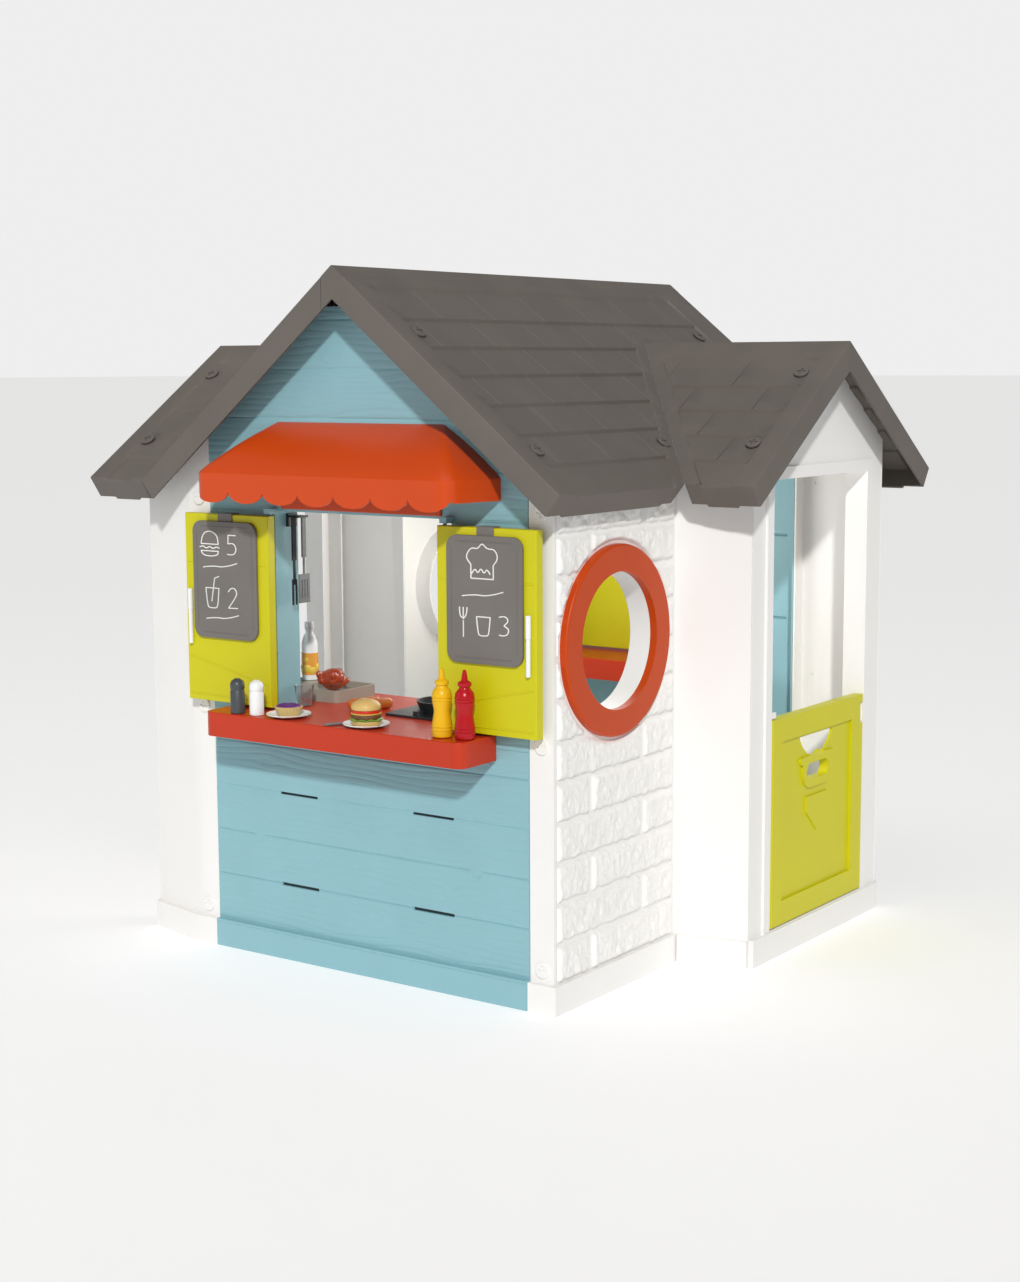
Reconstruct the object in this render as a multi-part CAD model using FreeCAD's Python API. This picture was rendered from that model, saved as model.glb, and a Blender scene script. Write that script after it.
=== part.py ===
import FreeCAD
import Part
import math
import os

# Plastic playhouse, millimetres, +Z up. The plan looks the same after half a turn about Z, so the
# pieces of the front and the right side are drawn, and most others are half-turn copies of them.

# Plan of the body, measured over its skirt
body_width = 900.0
body_depth = 1075.0
bay_length = 655.0          # where a bay leaves the body
bay_reach = 150.0           # how far a bay stands out from the body
bay_taper = 35.0            # how much each slanted bay wall gains along Y

# Walls
skirt_height = 55.0
skirt_proud = 10.0
wall_skin = 4.0
wall_flange = 40.0
panel_gap = 1.0
post_width = 63.0           # corner post, along X
plank_pitch = 92.5
first_plank = 151.0
plank_groove = 4.0
plank_groove_depth = 1.5
vent_length = 97.0
vent_height = 6.0
vent_centre = 166.0
vent_grooves = (0, 2, 5, 7)   # vents lie on these plank grooves, counted from the lowest

# Roofs
ridge_height = 1357.0
eave_height = 951.5
eave_overhang = 54.0
gable_overhang = 64.0
bay_ridge_height = 1219.0
bay_gable_overhang = 51.0
fascia_depth = 48.0
fascia_thick = 5.0
roof_skin = 4.5
roof_seat_gap = 2.0
roof_joint = 1.0
ridge_cap_half = 25.0
first_course = 75.0         # no groove nearer to the ridge than this
course_pitch = 82.5
course_groove = 5.0
course_depth = 1.5
last_course = 81.0          # from the eave up to the lowest groove

# Screws with a large plastic head
screw_head = 15.0
screw_head_thick = 4.0
screw_shank = 4.0
screw_shank_length = 6.0
screw_hole_clearance = 0.5
screw_slot = 4.0
screw_levels = (80.0, 494.0, 915.0)
main_screw_inset = 64.0     # from the gable edge
main_screw_rows = (195.0, 529.0)
valley_screw_inset = 34.0
bay_screw_inset = 61.0
bay_screw_rows = (110.0, 343.0)   # down the slope from the ridge

# Serving window, shutters and their pins
window_width = 430.0
window_head = 895.0
window_jamb = 66.0
sill_drop = 26.0            # from the counter top down to the window sill
shutter_axis_inset = 1.0    # from the window's edge to the hinge axis
shutter_axis_out = 17.5     # hinge axis in front of the wall face
shutter_inner = 8.0         # what lies beyond the hinge axis
shutter_meeting_gap = 2.0   # from the window's middle to a closed shutter
shutter_foot_gap = 5.0
shutter_head_gap = 9.0
shutter_thick = 20.0
shutter_out = 12.5          # back of the open shutter in front of the wall face
shutter_skin = 4.0
pin_radius = 3.5
pin_running = 0.05
pin_grip = 16.0             # pin length inside a moving piece
lug_gap = 3.5
lug_height = 11.0

# Chalkboards and markers
board_width = 168.0
board_height = 232.0
board_drop = 14.0           # from the shutter's top to the board's top
board_offset = 18.0         # from the hinge axis to the board
board_thick = 7.0
board_corner = 22.0
hook_width = 38.0
hook_thick = 2.5
marker_inset = 14.5         # from the shutter's free edge to the marker
marker_rise = 114.0         # above the shutter's foot
marker_length = 110.0
marker_radius = 5.0

# Counters
counter_width = 630.0
counter_top = 506.0
counter_apron = 49.0
counter_out = 109.5         # from the wall face to the front edge
counter_plate = 6.0
counter_corner = 22.0
worktop_width = 700.0
worktop_depth = 250.0       # inside, from the wall face
back_worktop_depth = 140.0
sill_gap = 1.0

# Awning
awning_top = 1068.0
awning_top_half = 200.0
awning_crease = 975.0
awning_crease_half = 303.0
awning_wall_half = 328.0
awning_out = 129.5          # from the wall face
awning_skin = 4.0
awning_drop = 58.0          # from the crease to the lowest scallop
scallop_count = 7
scallop_depth = 23.0
awning_band_half = 195.0
awning_band_bottom = 900.0
awning_band_top = 925.0

# Round side windows
round_centre = 209.5        # from the front skirt face
round_height = 667.0
round_inner = 129.0
round_outer = 180.0
ring_thick = 15.0
round_collar = 45.0

# Bay doorways and the half door
door_width = 410.0
door_sill = 57.0
door_head = 952.0
door_jamb = 45.0
door_frame_width = 24.0
door_frame_proud = 5.0
leaf_clearance = 2.5
leaf_top = 480.0
leaf_thick = 22.0
leaf_proud = 4.0
leaf_skin = 5.0
leaf_margin = 48.0
leaf_recess = 6.0
leaf_knuckle = 11.0
handle_drop = 128.0         # from the leaf's top
handle_length = 96.0
handle_width = 34.0
handle_collar = 17.0
notch_width = 150.0
notch_depth = 52.0
notch_lip = 16.0
shield_drop = 180.0
shield_half = 45.0
shield_side = 32.0
shield_tip = 75.0
latch_drop = 39.0
latch_size = 22.0

# Play kitchen behind the front window; each place is (X, distance inside the wall face)
sink_size = (190.0, 125.0, 24.0)
sink_place = (-245.0, 165.5)
sink_wall = 6.0
bowl_floor = 12.0
drainer_length = 76.0
hob_size = (200.0, 170.0, 5.0)
hob_inset = 5.0             # from the window's edge
hob_inside = 132.5
knob_radius = 11.0
knob_inset = 22.0
pan_shift = 15.0            # from the middle of the hob
pan_inside = 127.5
pan_radius = 52.0
pan_height = 22.0
pan_wall = 3.0
pan_handle = (85.0, 18.0, 7.0)   # reach, width, thickness
bottle_place = (-300.0, 192.5)
bottle_radius = 17.0
bottle_body = 82.0
bottle_neck = 26.0
cap_radius = 10.0
cap_height = 14.0
cup_inset = 5.0             # from the window's edge
cup_inside = 47.5
cup_radius = 20.0
cup_height = 42.0
roast_place = (-213.0, 162.0)
roast_radius = 28.0
roast_height = 50.0
leg_radius = 8.0
leg_length = 28.0
sausage_place = (-85.0, 47.5)
sausage_radius = 11.0
sausage_length = 88.0
card_size = (55.0, 36.0, 1.5)
card_places = ((222.0, 72.5), (222.0, 127.5))
rail_height = 862.0
rail_inset = 45.5
rail_arm = 34.0
rail_plate = 4.0
rail_half = 14.0
utensil_thick = 3.0
spatula_sizes = (78.0, 34.0, 56.0)    # grip, neck, blade
fork_sizes = (84.0, 38.0, 50.0)

V = FreeCAD.Vector

# Worked-out values
half_width = body_width / 2
half_depth = body_depth / 2
wall_x = half_width - skirt_proud
wall_y = half_depth - skirt_proud
bay_skirt_x = half_width + bay_reach
bay_wall_x = bay_skirt_x - skirt_proud
bay_y = half_depth - bay_length / 2
bay_half_face = bay_length / 2 - bay_taper
post_edge = half_width - post_width
eave_x = half_width + eave_overhang
gable_y = half_depth + gable_overhang
bay_gable_x = bay_skirt_x + bay_gable_overhang
bay_run = gable_y - bay_y
slope = math.atan2(ridge_height - eave_height, eave_x)
bay_slope = math.atan2(bay_ridge_height - eave_height, bay_run)
valley_x = (ridge_height - bay_ridge_height) / math.tan(slope)
window_sill = counter_top - sill_drop
shutter_axis_x = window_width / 2 - shutter_axis_inset
shutter_width = shutter_axis_x + shutter_inner - shutter_meeting_gap
shutter_bottom = counter_top + shutter_foot_gap
shutter_top = window_head - shutter_head_gap
board_bottom = shutter_top - board_drop - board_height
marker_bottom = shutter_bottom + marker_rise
marker_offset = shutter_width - shutter_inner - marker_inset
hob_place = (window_width / 2 - hob_inset - hob_size[0] / 2, hob_inside)
pan_place = (hob_place[0] - pan_shift, pan_inside)
cup_place = (-window_width / 2 + cup_inset + cup_radius, cup_inside)
handle_height = leaf_top - handle_drop
latch_height = leaf_top - latch_drop
round_y = -half_depth + round_centre
counter_y = -wall_y - counter_out
awning_y = -wall_y - awning_out
frame_shift = (awning_out - counter_out) / 2   # puts the origin under the middle of the whole
EPS = 1.0


def box(x0, x1, y0, y1, z0, z1):
    return Part.makeBox(x1 - x0, y1 - y0, z1 - z0, V(x0, y0, z0))


def prism(points, direction):
    wire = Part.makePolygon(points + [points[0]])
    return Part.Face(wire).extrude(direction)


def prism_z(points, z0, z1):
    return prism([V(x, y, z0) for x, y in points], V(0, 0, z1 - z0))


def prism_y(points, y0, y1):
    return prism([V(x, y0, z) for x, z in points], V(0, y1 - y0, 0))


def prism_x(points, x0, x1):
    return prism([V(x0, y, z) for y, z in points], V(x1 - x0, 0, 0))


def rod(start, axis, radius, length):
    return Part.makeCylinder(radius, length, V(*start), V(*axis))


def join(shapes):
    first, rest = shapes[0], shapes[1:]
    return first.fuse(rest).removeSplitter() if rest else first


def half_turn(shape):
    turned = shape.copy()
    turned.rotate(V(0, 0, 0), V(0, 0, 1), 180)
    return turned


def flipped(shape):
    return shape.mirror(V(0, 0, 0), V(1, 0, 0))


def offset_path(points, distance, closed=False):
    """The path moved to its left, with mitred corners."""
    count = len(points)
    moved = []
    for i in range(count):
        before = points[i - 1] if closed or i > 0 else None
        after = points[(i + 1) % count] if closed or i < count - 1 else None
        normals = []
        for a, b in ((before, points[i]), (points[i], after)):
            if a is not None and b is not None:
                length = math.hypot(b[0] - a[0], b[1] - a[1])
                normals.append(((a[1] - b[1]) / length, (b[0] - a[0]) / length))
        if len(normals) == 1:
            nx, ny = normals[0]
        else:
            (ax, ay), (bx, by) = normals
            scale = 1 + ax * bx + ay * by
            nx, ny = (ax + bx) / scale, (ay + by) / scale
        moved.append((points[i][0] + nx * distance, points[i][1] + ny * distance))
    return moved


def band(path, outer, inner):
    """Outline of the strip between two offsets of a path."""
    return offset_path(path, outer) + offset_path(path, inner)[::-1]


# Wall-face corners of the body's right half, from the front corner round to the back one
skirt_line = [(-half_width, -half_depth), (half_width, -half_depth),
              (half_width, bay_y - bay_length / 2), (bay_skirt_x, bay_y - bay_half_face),
              (bay_skirt_x, bay_y + bay_half_face), (half_width, half_depth),
              (-half_width, half_depth)]
front_corner, bay_root, bay_front, bay_back, back_corner = offset_path(skirt_line, skirt_proud)[1:-1]


def space_under_roofs():
    """Everything below the roof skins; walls are trimmed to it."""
    main_drop = roof_skin / math.cos(slope) + roof_seat_gap
    bay_drop = roof_skin / math.cos(bay_slope) + roof_seat_gap
    main = prism_y([(-eave_x, 0), (eave_x, 0), (eave_x, eave_height - main_drop),
                    (0, ridge_height - main_drop), (-eave_x, eave_height - main_drop)],
                   -gable_y, gable_y)
    bay = prism_x([(bay_y - bay_run, 0), (bay_y + bay_run, 0),
                   (bay_y + bay_run, eave_height - bay_drop), (bay_y, bay_ridge_height - bay_drop),
                   (bay_y - bay_run, eave_height - bay_drop)], 0, bay_gable_x)
    return main.fuse([bay, half_turn(bay)])


under_roofs = space_under_roofs()


def wall(path, run):
    """Sheet wall along a plan path, with the skirt outside its run."""
    sheet = prism_z(band(path, 0, wall_skin), 0, ridge_height).common(under_roofs)
    skirt = prism_z(band(run, -skirt_proud, 0), 0, skirt_height)
    return join([sheet, skirt])


def screw():
    """Screw with its head on z=0, head upwards."""
    head = rod((0, 0, 0), (0, 0, 1), screw_head, screw_head_thick)
    head = head.makeFillet(1.5, [e for e in head.Edges if e.BoundBox.ZMin > screw_head_thick - 0.1])
    shank = rod((0, 0, -screw_shank_length), (0, 0, 1), screw_shank, screw_shank_length + EPS)
    body = head.fuse(shank)
    for angle in (0, 90):
        slot = box(-screw_head * 0.6, screw_head * 0.6, -screw_slot / 2, screw_slot / 2,
                   screw_head_thick / 2, screw_head_thick + EPS)
        slot.rotate(V(0, 0, 0), V(0, 0, 1), angle)
        body = body.cut(slot)
    return body


wall_screw_spots = [(side * (post_edge + post_width / 2 - 3), z) for side in (-1, 1)
                    for z in screw_levels]


def post_screws():
    """The screws on the two front corner posts."""
    placed = []
    for x, z in wall_screw_spots:
        item = screw()
        item.rotate(V(0, 0, 0), V(1, 0, 0), 90)
        item.translate(V(x, -wall_y, z))
        placed.append(item)
    return placed


def post_screw_holes(panel):
    radius = screw_shank + screw_hole_clearance
    holes = [rod((x, -wall_y - EPS, z), (0, 1, 0), radius, wall_skin + 2 * EPS)
             for x, z in wall_screw_spots]
    return panel.cut(holes)


def front_wall():
    edge = post_edge - panel_gap / 2
    run = [(-edge, -wall_y), (edge, -wall_y)]
    path = [(-edge, -wall_y + wall_flange)] + run + [(edge, -wall_y + wall_flange)]
    sheet = wall(path, run)
    half = window_width / 2
    inner, outer = -wall_y + window_jamb, -wall_y
    jamb = box(-half - wall_skin, half + wall_skin, outer, inner,
               window_sill - wall_skin, window_head + wall_skin)
    opening = box(-half, half, outer - EPS, inner + EPS, window_sill, window_head)
    body = join([sheet, jamb]).cut(opening)
    grooves = []
    level = first_plank
    while level < ridge_height:
        grooves.append(box(-edge - EPS, edge + EPS, outer - EPS, outer + plank_groove_depth,
                           level - plank_groove / 2, level + plank_groove / 2))
        level += plank_pitch
    vents = []
    for index in vent_grooves:
        z = first_plank + index * plank_pitch
        middle = vent_centre if z < window_sill else (half + wall_skin + edge) / 2
        vents += [box(side * middle - vent_length / 2, side * middle + vent_length / 2, outer - EPS,
                      outer + wall_skin + EPS, z - vent_height / 2, z + vent_height / 2)
                  for side in (-1, 1)]
    body = body.cut(grooves + vents)
    return join([body] + [shutter_lug(side) for side in (-1, 1)])


def shutter_lug(side):
    """Ear that holds the top pin of a shutter."""
    x = side * shutter_axis_x
    reach = shutter_axis_out + pin_radius + wall_skin
    z0 = shutter_top + lug_gap
    ear = box(x - 8, x + 8, -wall_y - reach, -wall_y, z0, z0 + lug_height)
    return ear.cut(rod((x, -wall_y - shutter_axis_out, z0 - EPS), (0, 0, 1), pin_radius,
                       lug_height + 2 * EPS))


def brick_panel():
    """Side panel with the corner post and the round window."""
    edge = post_edge + panel_gap / 2
    last = bay_root[1] - panel_gap / 2
    run = [(edge, -wall_y), front_corner, (wall_x, last)]
    path = [(edge, -wall_y + wall_flange)] + run + [(wall_x - wall_flange, last)]
    collar = rod((wall_x - round_collar, round_y, round_height), (1, 0, 0),
                 round_inner + wall_skin, round_collar)
    hole = rod((wall_x - round_collar - EPS, round_y, round_height), (1, 0, 0), round_inner,
               round_collar + 2 * EPS)
    return post_screw_holes(join([wall(path, run), collar]).cut(hole))


def bay_front_panel():
    first = (wall_x, bay_root[1] + panel_gap / 2)
    share = (skirt_proud + panel_gap) / (bay_wall_x - wall_x)
    skirt_start = (wall_x + skirt_proud + panel_gap, first[1] + share * (bay_front[1] - first[1]))
    run = [skirt_start, bay_front]
    path = [(wall_x - wall_flange, first[1]), first, bay_front]
    trim = box(0, bay_wall_x, -half_depth, half_depth, skirt_height, ridge_height)
    foot = box(0, bay_skirt_x, -half_depth, half_depth, 0, skirt_height)
    return wall(path, run).common(trim.fuse(foot))


def bay_back_panel():
    """Slanted wall with the back corner post."""
    edge = post_edge + panel_gap / 2
    run = [bay_back, back_corner, (edge, wall_y)]
    path = run + [(edge, wall_y - wall_flange)]
    trim = box(0, bay_wall_x, 0, half_depth, skirt_height, ridge_height)
    foot = box(0, bay_skirt_x, 0, half_depth, 0, skirt_height)
    holes = half_turn(post_screw_holes(half_turn(wall(path, run))))
    return holes.common(trim.fuse(foot))


def bay_door_panel():
    """Gable wall with the doorway; the doorway's middle is on the bay's middle."""
    lap = wall_skin / math.cos(math.atan2(bay_taper, bay_reach)) + panel_gap / 2
    y0, y1 = bay_front[1] + lap, bay_back[1] - lap
    run = [(bay_wall_x, y0), (bay_wall_x, y1)]
    path = [(bay_wall_x - wall_flange, y0)] + run + [(bay_wall_x - wall_flange, y1)]
    sheet = wall(path, run)
    half = door_width / 2
    jamb = box(bay_wall_x - door_jamb, bay_wall_x, bay_y - half - wall_skin,
               bay_y + half + wall_skin, door_sill - wall_skin, door_head + wall_skin)
    frame = box(bay_wall_x, bay_wall_x + door_frame_proud, bay_y - half - door_frame_width,
                bay_y + half + door_frame_width, skirt_height, door_head + door_frame_width)
    opening = box(bay_wall_x - door_jamb - EPS, bay_skirt_x + EPS, bay_y - half, bay_y + half,
                  door_sill, door_head)
    return join([sheet, jamb, frame]).cut(opening)


def sloped(ridge, angle, run, outline, v0, v1, lowest_groove):
    """One roof slope: ridge along local Y at x=0, falling towards +X, cut to a plan outline."""
    length = run / math.cos(angle)

    def slab(s0, s1, t0, t1):
        corners = []
        for s, t in ((s0, t0), (s1, t0), (s1, t1), (s0, t1)):
            corners.append((s * math.cos(angle) - t * math.sin(angle),
                            ridge - s * math.sin(angle) - t * math.cos(angle)))
        return corners

    solid = prism_y(slab(-fascia_depth, length, 0, fascia_depth), v0 - EPS, v1 + EPS)
    solid = solid.common(prism_z(outline, 0, ridge + EPS))
    pocket = prism_y(slab(-2 * fascia_depth, length - fascia_thick, roof_skin,
                          fascia_depth + 2 * EPS), v0 + fascia_thick, v1 - fascia_thick)
    grooves = []
    place = length - lowest_groove
    while place > first_course:
        grooves.append(prism_y(slab(place, place + course_groove, -EPS, course_depth),
                               v0 - EPS, v1 + EPS))
        place -= course_pitch
    return solid.cut([pocket] + grooves)


def roof_screw(angle, ridge, s, v):
    """A screw seated square on a slope, in the slope's local frame."""
    item = screw()
    item.rotate(V(0, 0, 0), V(0, 1, 0), math.degrees(angle))
    item.translate(V(s * math.cos(angle), v, ridge - s * math.sin(angle)))
    return item


def drilled(slope_shape, angle, ridge, places):
    holes = []
    for s, v in places:
        hole = rod((0, 0, -screw_shank_length), (0, 0, 1), screw_shank + screw_hole_clearance,
                   screw_shank_length + 2 * EPS)
        hole.rotate(V(0, 0, 0), V(0, 1, 0), math.degrees(angle))
        hole.translate(V(s * math.cos(angle), v, ridge - s * math.sin(angle)))
        holes.append(hole)
    return slope_shape.cut(holes)


def main_roof_half():
    """Right half of the main roof, notched where the bay roof meets it, and its screws."""
    start = ridge_cap_half + roof_joint / 2
    shift = roof_joint / 2 / math.sin(math.atan2(bay_run, eave_x - valley_x))
    outline = [(start, -gable_y), (eave_x, -gable_y), (eave_x, bay_y - bay_run),
               (valley_x - shift, bay_y), (eave_x - shift, gable_y), (start, gable_y)]
    body = sloped(ridge_height, slope, eave_x, outline, -gable_y, gable_y, last_course)
    upper, lower = main_screw_rows
    front = -gable_y + main_screw_inset
    valley_share = (lower * math.cos(slope) - valley_x) / (eave_x - valley_x)
    beside_valley = bay_y - bay_run * valley_share - valley_screw_inset
    places = [(upper, front), (lower, front), (upper, gable_y - 2 * main_screw_inset),
              (lower, beside_valley)]
    body = drilled(body, slope, ridge_height, places)
    return body, [roof_screw(slope, ridge_height, s, v) for s, v in places]


def bay_roof_half(side):
    """One slope of the right bay roof and its screws; side -1 is the front slope, +1 the back."""
    shift = roof_joint / 2 / math.sin(math.atan2(bay_run, eave_x - valley_x))
    start = roof_joint / 2
    outline = [(start, -side * (valley_x + shift)), (start, -side * bay_gable_x),
               (bay_run, -side * bay_gable_x), (bay_run, -side * (eave_x + shift))]
    if side > 0:
        v0, v1 = -bay_gable_x, -valley_x + fascia_depth * 2
    else:
        outline = outline[::-1]
        v0, v1 = valley_x - fascia_depth * 2, bay_gable_x
    body = sloped(bay_ridge_height, bay_slope, bay_run, outline, v0, v1, last_course)
    places = [(s, -side * (bay_gable_x - bay_screw_inset)) for s in bay_screw_rows]
    body = drilled(body, bay_slope, bay_ridge_height, places)
    screws = [roof_screw(bay_slope, bay_ridge_height, s, v) for s, v in places]
    for item in [body] + screws:
        item.rotate(V(0, 0, 0), V(0, 0, 1), side * 90)
        item.translate(V(0, bay_y, 0))
    return body, screws


def ridge_cap():
    """Cap strip over the main ridge, closed by a bargeboard tip at both ends."""
    half = ridge_cap_half
    fall = half * math.tan(slope)
    drop = roof_skin / math.cos(slope)
    tip = fascia_depth / math.cos(slope)

    def chevron(depth, y0, y1):
        return prism_y([(-half, ridge_height - fall), (-half, ridge_height - fall - depth),
                        (0, ridge_height - depth), (half, ridge_height - fall - depth),
                        (half, ridge_height - fall), (0, ridge_height)], y0, y1)

    return join([chevron(drop, -gable_y, gable_y), chevron(tip, -gable_y, -gable_y + fascia_thick),
                 chevron(tip, gable_y - fascia_thick, gable_y)])


def shutter():
    """Front right shutter, folded open flat against the wall."""
    x0 = shutter_axis_x - shutter_inner
    x1 = x0 + shutter_width
    y1 = -wall_y - shutter_out
    y0 = y1 - shutter_thick
    leaf = box(x0, x1, y0, y1, shutter_bottom, shutter_top)
    leaf = leaf.makeFillet(2.0, [e for e in leaf.Edges if e.BoundBox.YMax < y0 + 0.1])
    hinge_rib = 2 * shutter_inner
    middle = (shutter_bottom + shutter_top) / 2
    pockets = [box(x0 + hinge_rib, x1 - shutter_skin, y0 + shutter_skin, y1 + EPS, z0, z1)
               for z0, z1 in ((shutter_bottom + shutter_skin, middle - shutter_skin / 2),
                              (middle + shutter_skin / 2, shutter_top - shutter_skin))]
    axis_y = -wall_y - shutter_axis_out
    bore = pin_radius + pin_running
    bores = [rod((shutter_axis_x, axis_y, z), (0, 0, 1), bore, pin_grip + EPS)
             for z in (shutter_bottom - EPS, shutter_top - pin_grip)]
    return leaf.cut(pockets + bores)


def shutter_pins():
    """Bottom and top pin of the front right shutter."""
    axis_y = -wall_y - shutter_axis_out
    low = counter_top - counter_plate
    high = shutter_top + lug_gap + lug_height
    grip = pin_grip - EPS
    return [rod((shutter_axis_x, axis_y, low), (0, 0, 1), pin_radius, shutter_bottom + grip - low),
            rod((shutter_axis_x, axis_y, shutter_top - grip), (0, 0, 1), pin_radius,
                high - shutter_top + grip)]


def chalkboard():
    """Board hung by a hook over the top of the front right shutter."""
    x0 = shutter_axis_x + board_offset
    face = -wall_y - shutter_out - shutter_thick
    board = box(x0, x0 + board_width, face - board_thick, face, board_bottom,
                board_bottom + board_height)
    board = board.makeFillet(board_corner, [e for e in board.Edges
                                            if e.BoundBox.YLength > board_thick - 0.1])
    middle = x0 + board_width / 2
    strap = box(middle - hook_width / 2, middle + hook_width / 2, face - hook_thick, face,
                board_bottom + board_height - EPS, shutter_top + hook_thick)
    lip = box(middle - hook_width / 2, middle + hook_width / 2, face - hook_thick,
              face + shutter_thick, shutter_top, shutter_top + hook_thick)
    return join([board, strap, lip])


def marker():
    """Marker held upright on the front right shutter."""
    face = -wall_y - shutter_out - shutter_thick
    x, y = shutter_axis_x + marker_offset, face - marker_radius
    barrel = rod((x, y, marker_bottom), (0, 0, 1), marker_radius * 0.85, marker_length * 0.7)
    cap = rod((x, y, marker_bottom + marker_length * 0.62), (0, 0, 1), marker_radius,
              marker_length * 0.38)
    return barrel.fuse(cap)


def shut(shape):
    """A piece of the front right shutter, swung to its closed place."""
    swung = shape.copy()
    swung.rotate(V(shutter_axis_x, -wall_y - shutter_axis_out, 0), V(0, 0, 1), 180)
    return swung


def counter(inside):
    """Shelf in front of a window that runs over the sill to a worktop inside."""
    half = counter_width / 2
    low = counter_top - counter_apron
    edge = -wall_y - panel_gap
    shelf = box(-half, half, counter_y, edge, low, counter_top)
    shelf = shelf.makeFillet(counter_corner, [e for e in shelf.Edges
                                              if e.BoundBox.ZLength > counter_apron - 0.1
                                              and e.BoundBox.YMax < counter_y + 0.1])
    hollow = box(-half + counter_plate, half - counter_plate, counter_y + counter_plate,
                 edge - counter_plate, low - EPS, counter_top - counter_plate)
    inner_edge = -wall_y + window_jamb
    half_in = worktop_width / 2
    worktop = box(-half_in, half_in, inner_edge + panel_gap, -wall_y + inside, low, counter_top)
    under = box(-half_in + counter_plate, half_in - counter_plate,
                inner_edge + panel_gap + counter_plate, -wall_y + inside - counter_plate,
                low - EPS, counter_top - counter_plate)
    bridge_half = window_width / 2 - sill_gap
    bridge = box(-bridge_half, bridge_half, edge - counter_plate,
                 inner_edge + panel_gap + counter_plate, window_sill + sill_gap, counter_top)
    pins = [rod((side * shutter_axis_x, -wall_y - shutter_axis_out, low - EPS), (0, 0, 1),
                pin_radius, counter_apron + 2 * EPS) for side in (-1, 1)]
    return join([shelf.cut(hollow), worktop.cut(under), bridge]).cut(pins)


def awning_hull(inset):
    """Closed outer or inner form of the awning."""
    top = awning_top - inset
    crease = awning_crease - inset * 0.8
    front = awning_y + inset
    wall_face = -wall_y + (EPS if inset else 0)
    low = awning_crease - awning_drop - (EPS if inset else 0)
    half_top, half_front, half_wall = (w - inset for w in (awning_top_half, awning_crease_half,
                                                           awning_wall_half))
    left = [V(-half_top, wall_face, top), V(-half_front, front, crease), V(-half_wall, wall_face, crease),
            V(-half_front, front, low), V(-half_wall, wall_face, low)]
    right = [V(-p.x, p.y, p.z) for p in left]
    tl, fl, wl, fbl, wbl = left
    tr, fr, wr, fbr, wbr = right
    loops = [(tl, fl, fr, tr), (tl, wl, fl), (tr, fr, wr), (fl, fbl, fbr, fr), (wl, wbl, fbl, fl),
             (wr, fr, fbr, wbr), (fbl, wbl, wbr, fbr), (tl, tr, wr, wbr, wbl, wl)]
    faces = [Part.Face(Part.makePolygon(list(loop) + [loop[0]])) for loop in loops]
    return Part.makeSolid(Part.makeShell(faces))


def awning():
    """Hipped awning with a scalloped valance and a fixing band at the wall."""
    shell = awning_hull(0).cut(awning_hull(awning_skin))
    low = awning_crease - awning_drop
    pitch = 2 * awning_crease_half / scallop_count
    radius = (pitch ** 2 / 4 + scallop_depth ** 2) / (2 * scallop_depth)
    keep = [box(-awning_wall_half - EPS, awning_wall_half + EPS, awning_y - EPS, -wall_y + EPS,
                low + scallop_depth, awning_top + EPS)]
    keep += [rod((-awning_crease_half + pitch * (i + 0.5), awning_y - EPS, low + radius), (0, 1, 0),
                 radius, 3 * awning_skin) for i in range(scallop_count)]
    shell = shell.common(join(keep))
    band_plate = box(-awning_band_half, awning_band_half, -wall_y - awning_skin, -wall_y,
                     awning_band_bottom, awning_band_top)
    ties = [box(x - awning_skin / 2, x + awning_skin / 2, -wall_y - 3 * awning_skin, -wall_y,
                awning_band_bottom, awning_top - 3 * awning_skin)
            for x in (-awning_band_half + awning_skin, awning_band_half - awning_skin)]
    return join([shell, band_plate] + ties)


def window_ring():
    ring = rod((wall_x, round_y, round_height), (1, 0, 0), round_outer, ring_thick)
    ring = ring.makeFillet(5.0, [e for e in ring.Edges if e.BoundBox.XMin > wall_x + ring_thick - 0.1])
    return ring.cut(rod((wall_x - EPS, round_y, round_height), (1, 0, 0), round_inner,
                        ring_thick + 2 * EPS))


leaf_x0 = bay_wall_x + leaf_proud - leaf_thick
leaf_x1 = bay_wall_x + leaf_proud
leaf_y0 = bay_y - door_width / 2 + leaf_clearance
leaf_y1 = bay_y + door_width / 2 - leaf_clearance
hinge_x = leaf_x1 - leaf_knuckle
hinge_y = leaf_y0 + leaf_knuckle
leaf_bottom = door_sill + leaf_clearance


def oval(y_mid, z_mid, length, width, x0, x1):
    """Rounded slot across X, long in Y."""
    reach = (length - width) / 2
    ends = [rod((x0, y_mid + s * reach, z_mid), (1, 0, 0), width / 2, x1 - x0) for s in (-1, 1)]
    return join(ends + [box(x0, x1, y_mid - reach, y_mid + reach, z_mid - width / 2,
                            z_mid + width / 2)])


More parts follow.
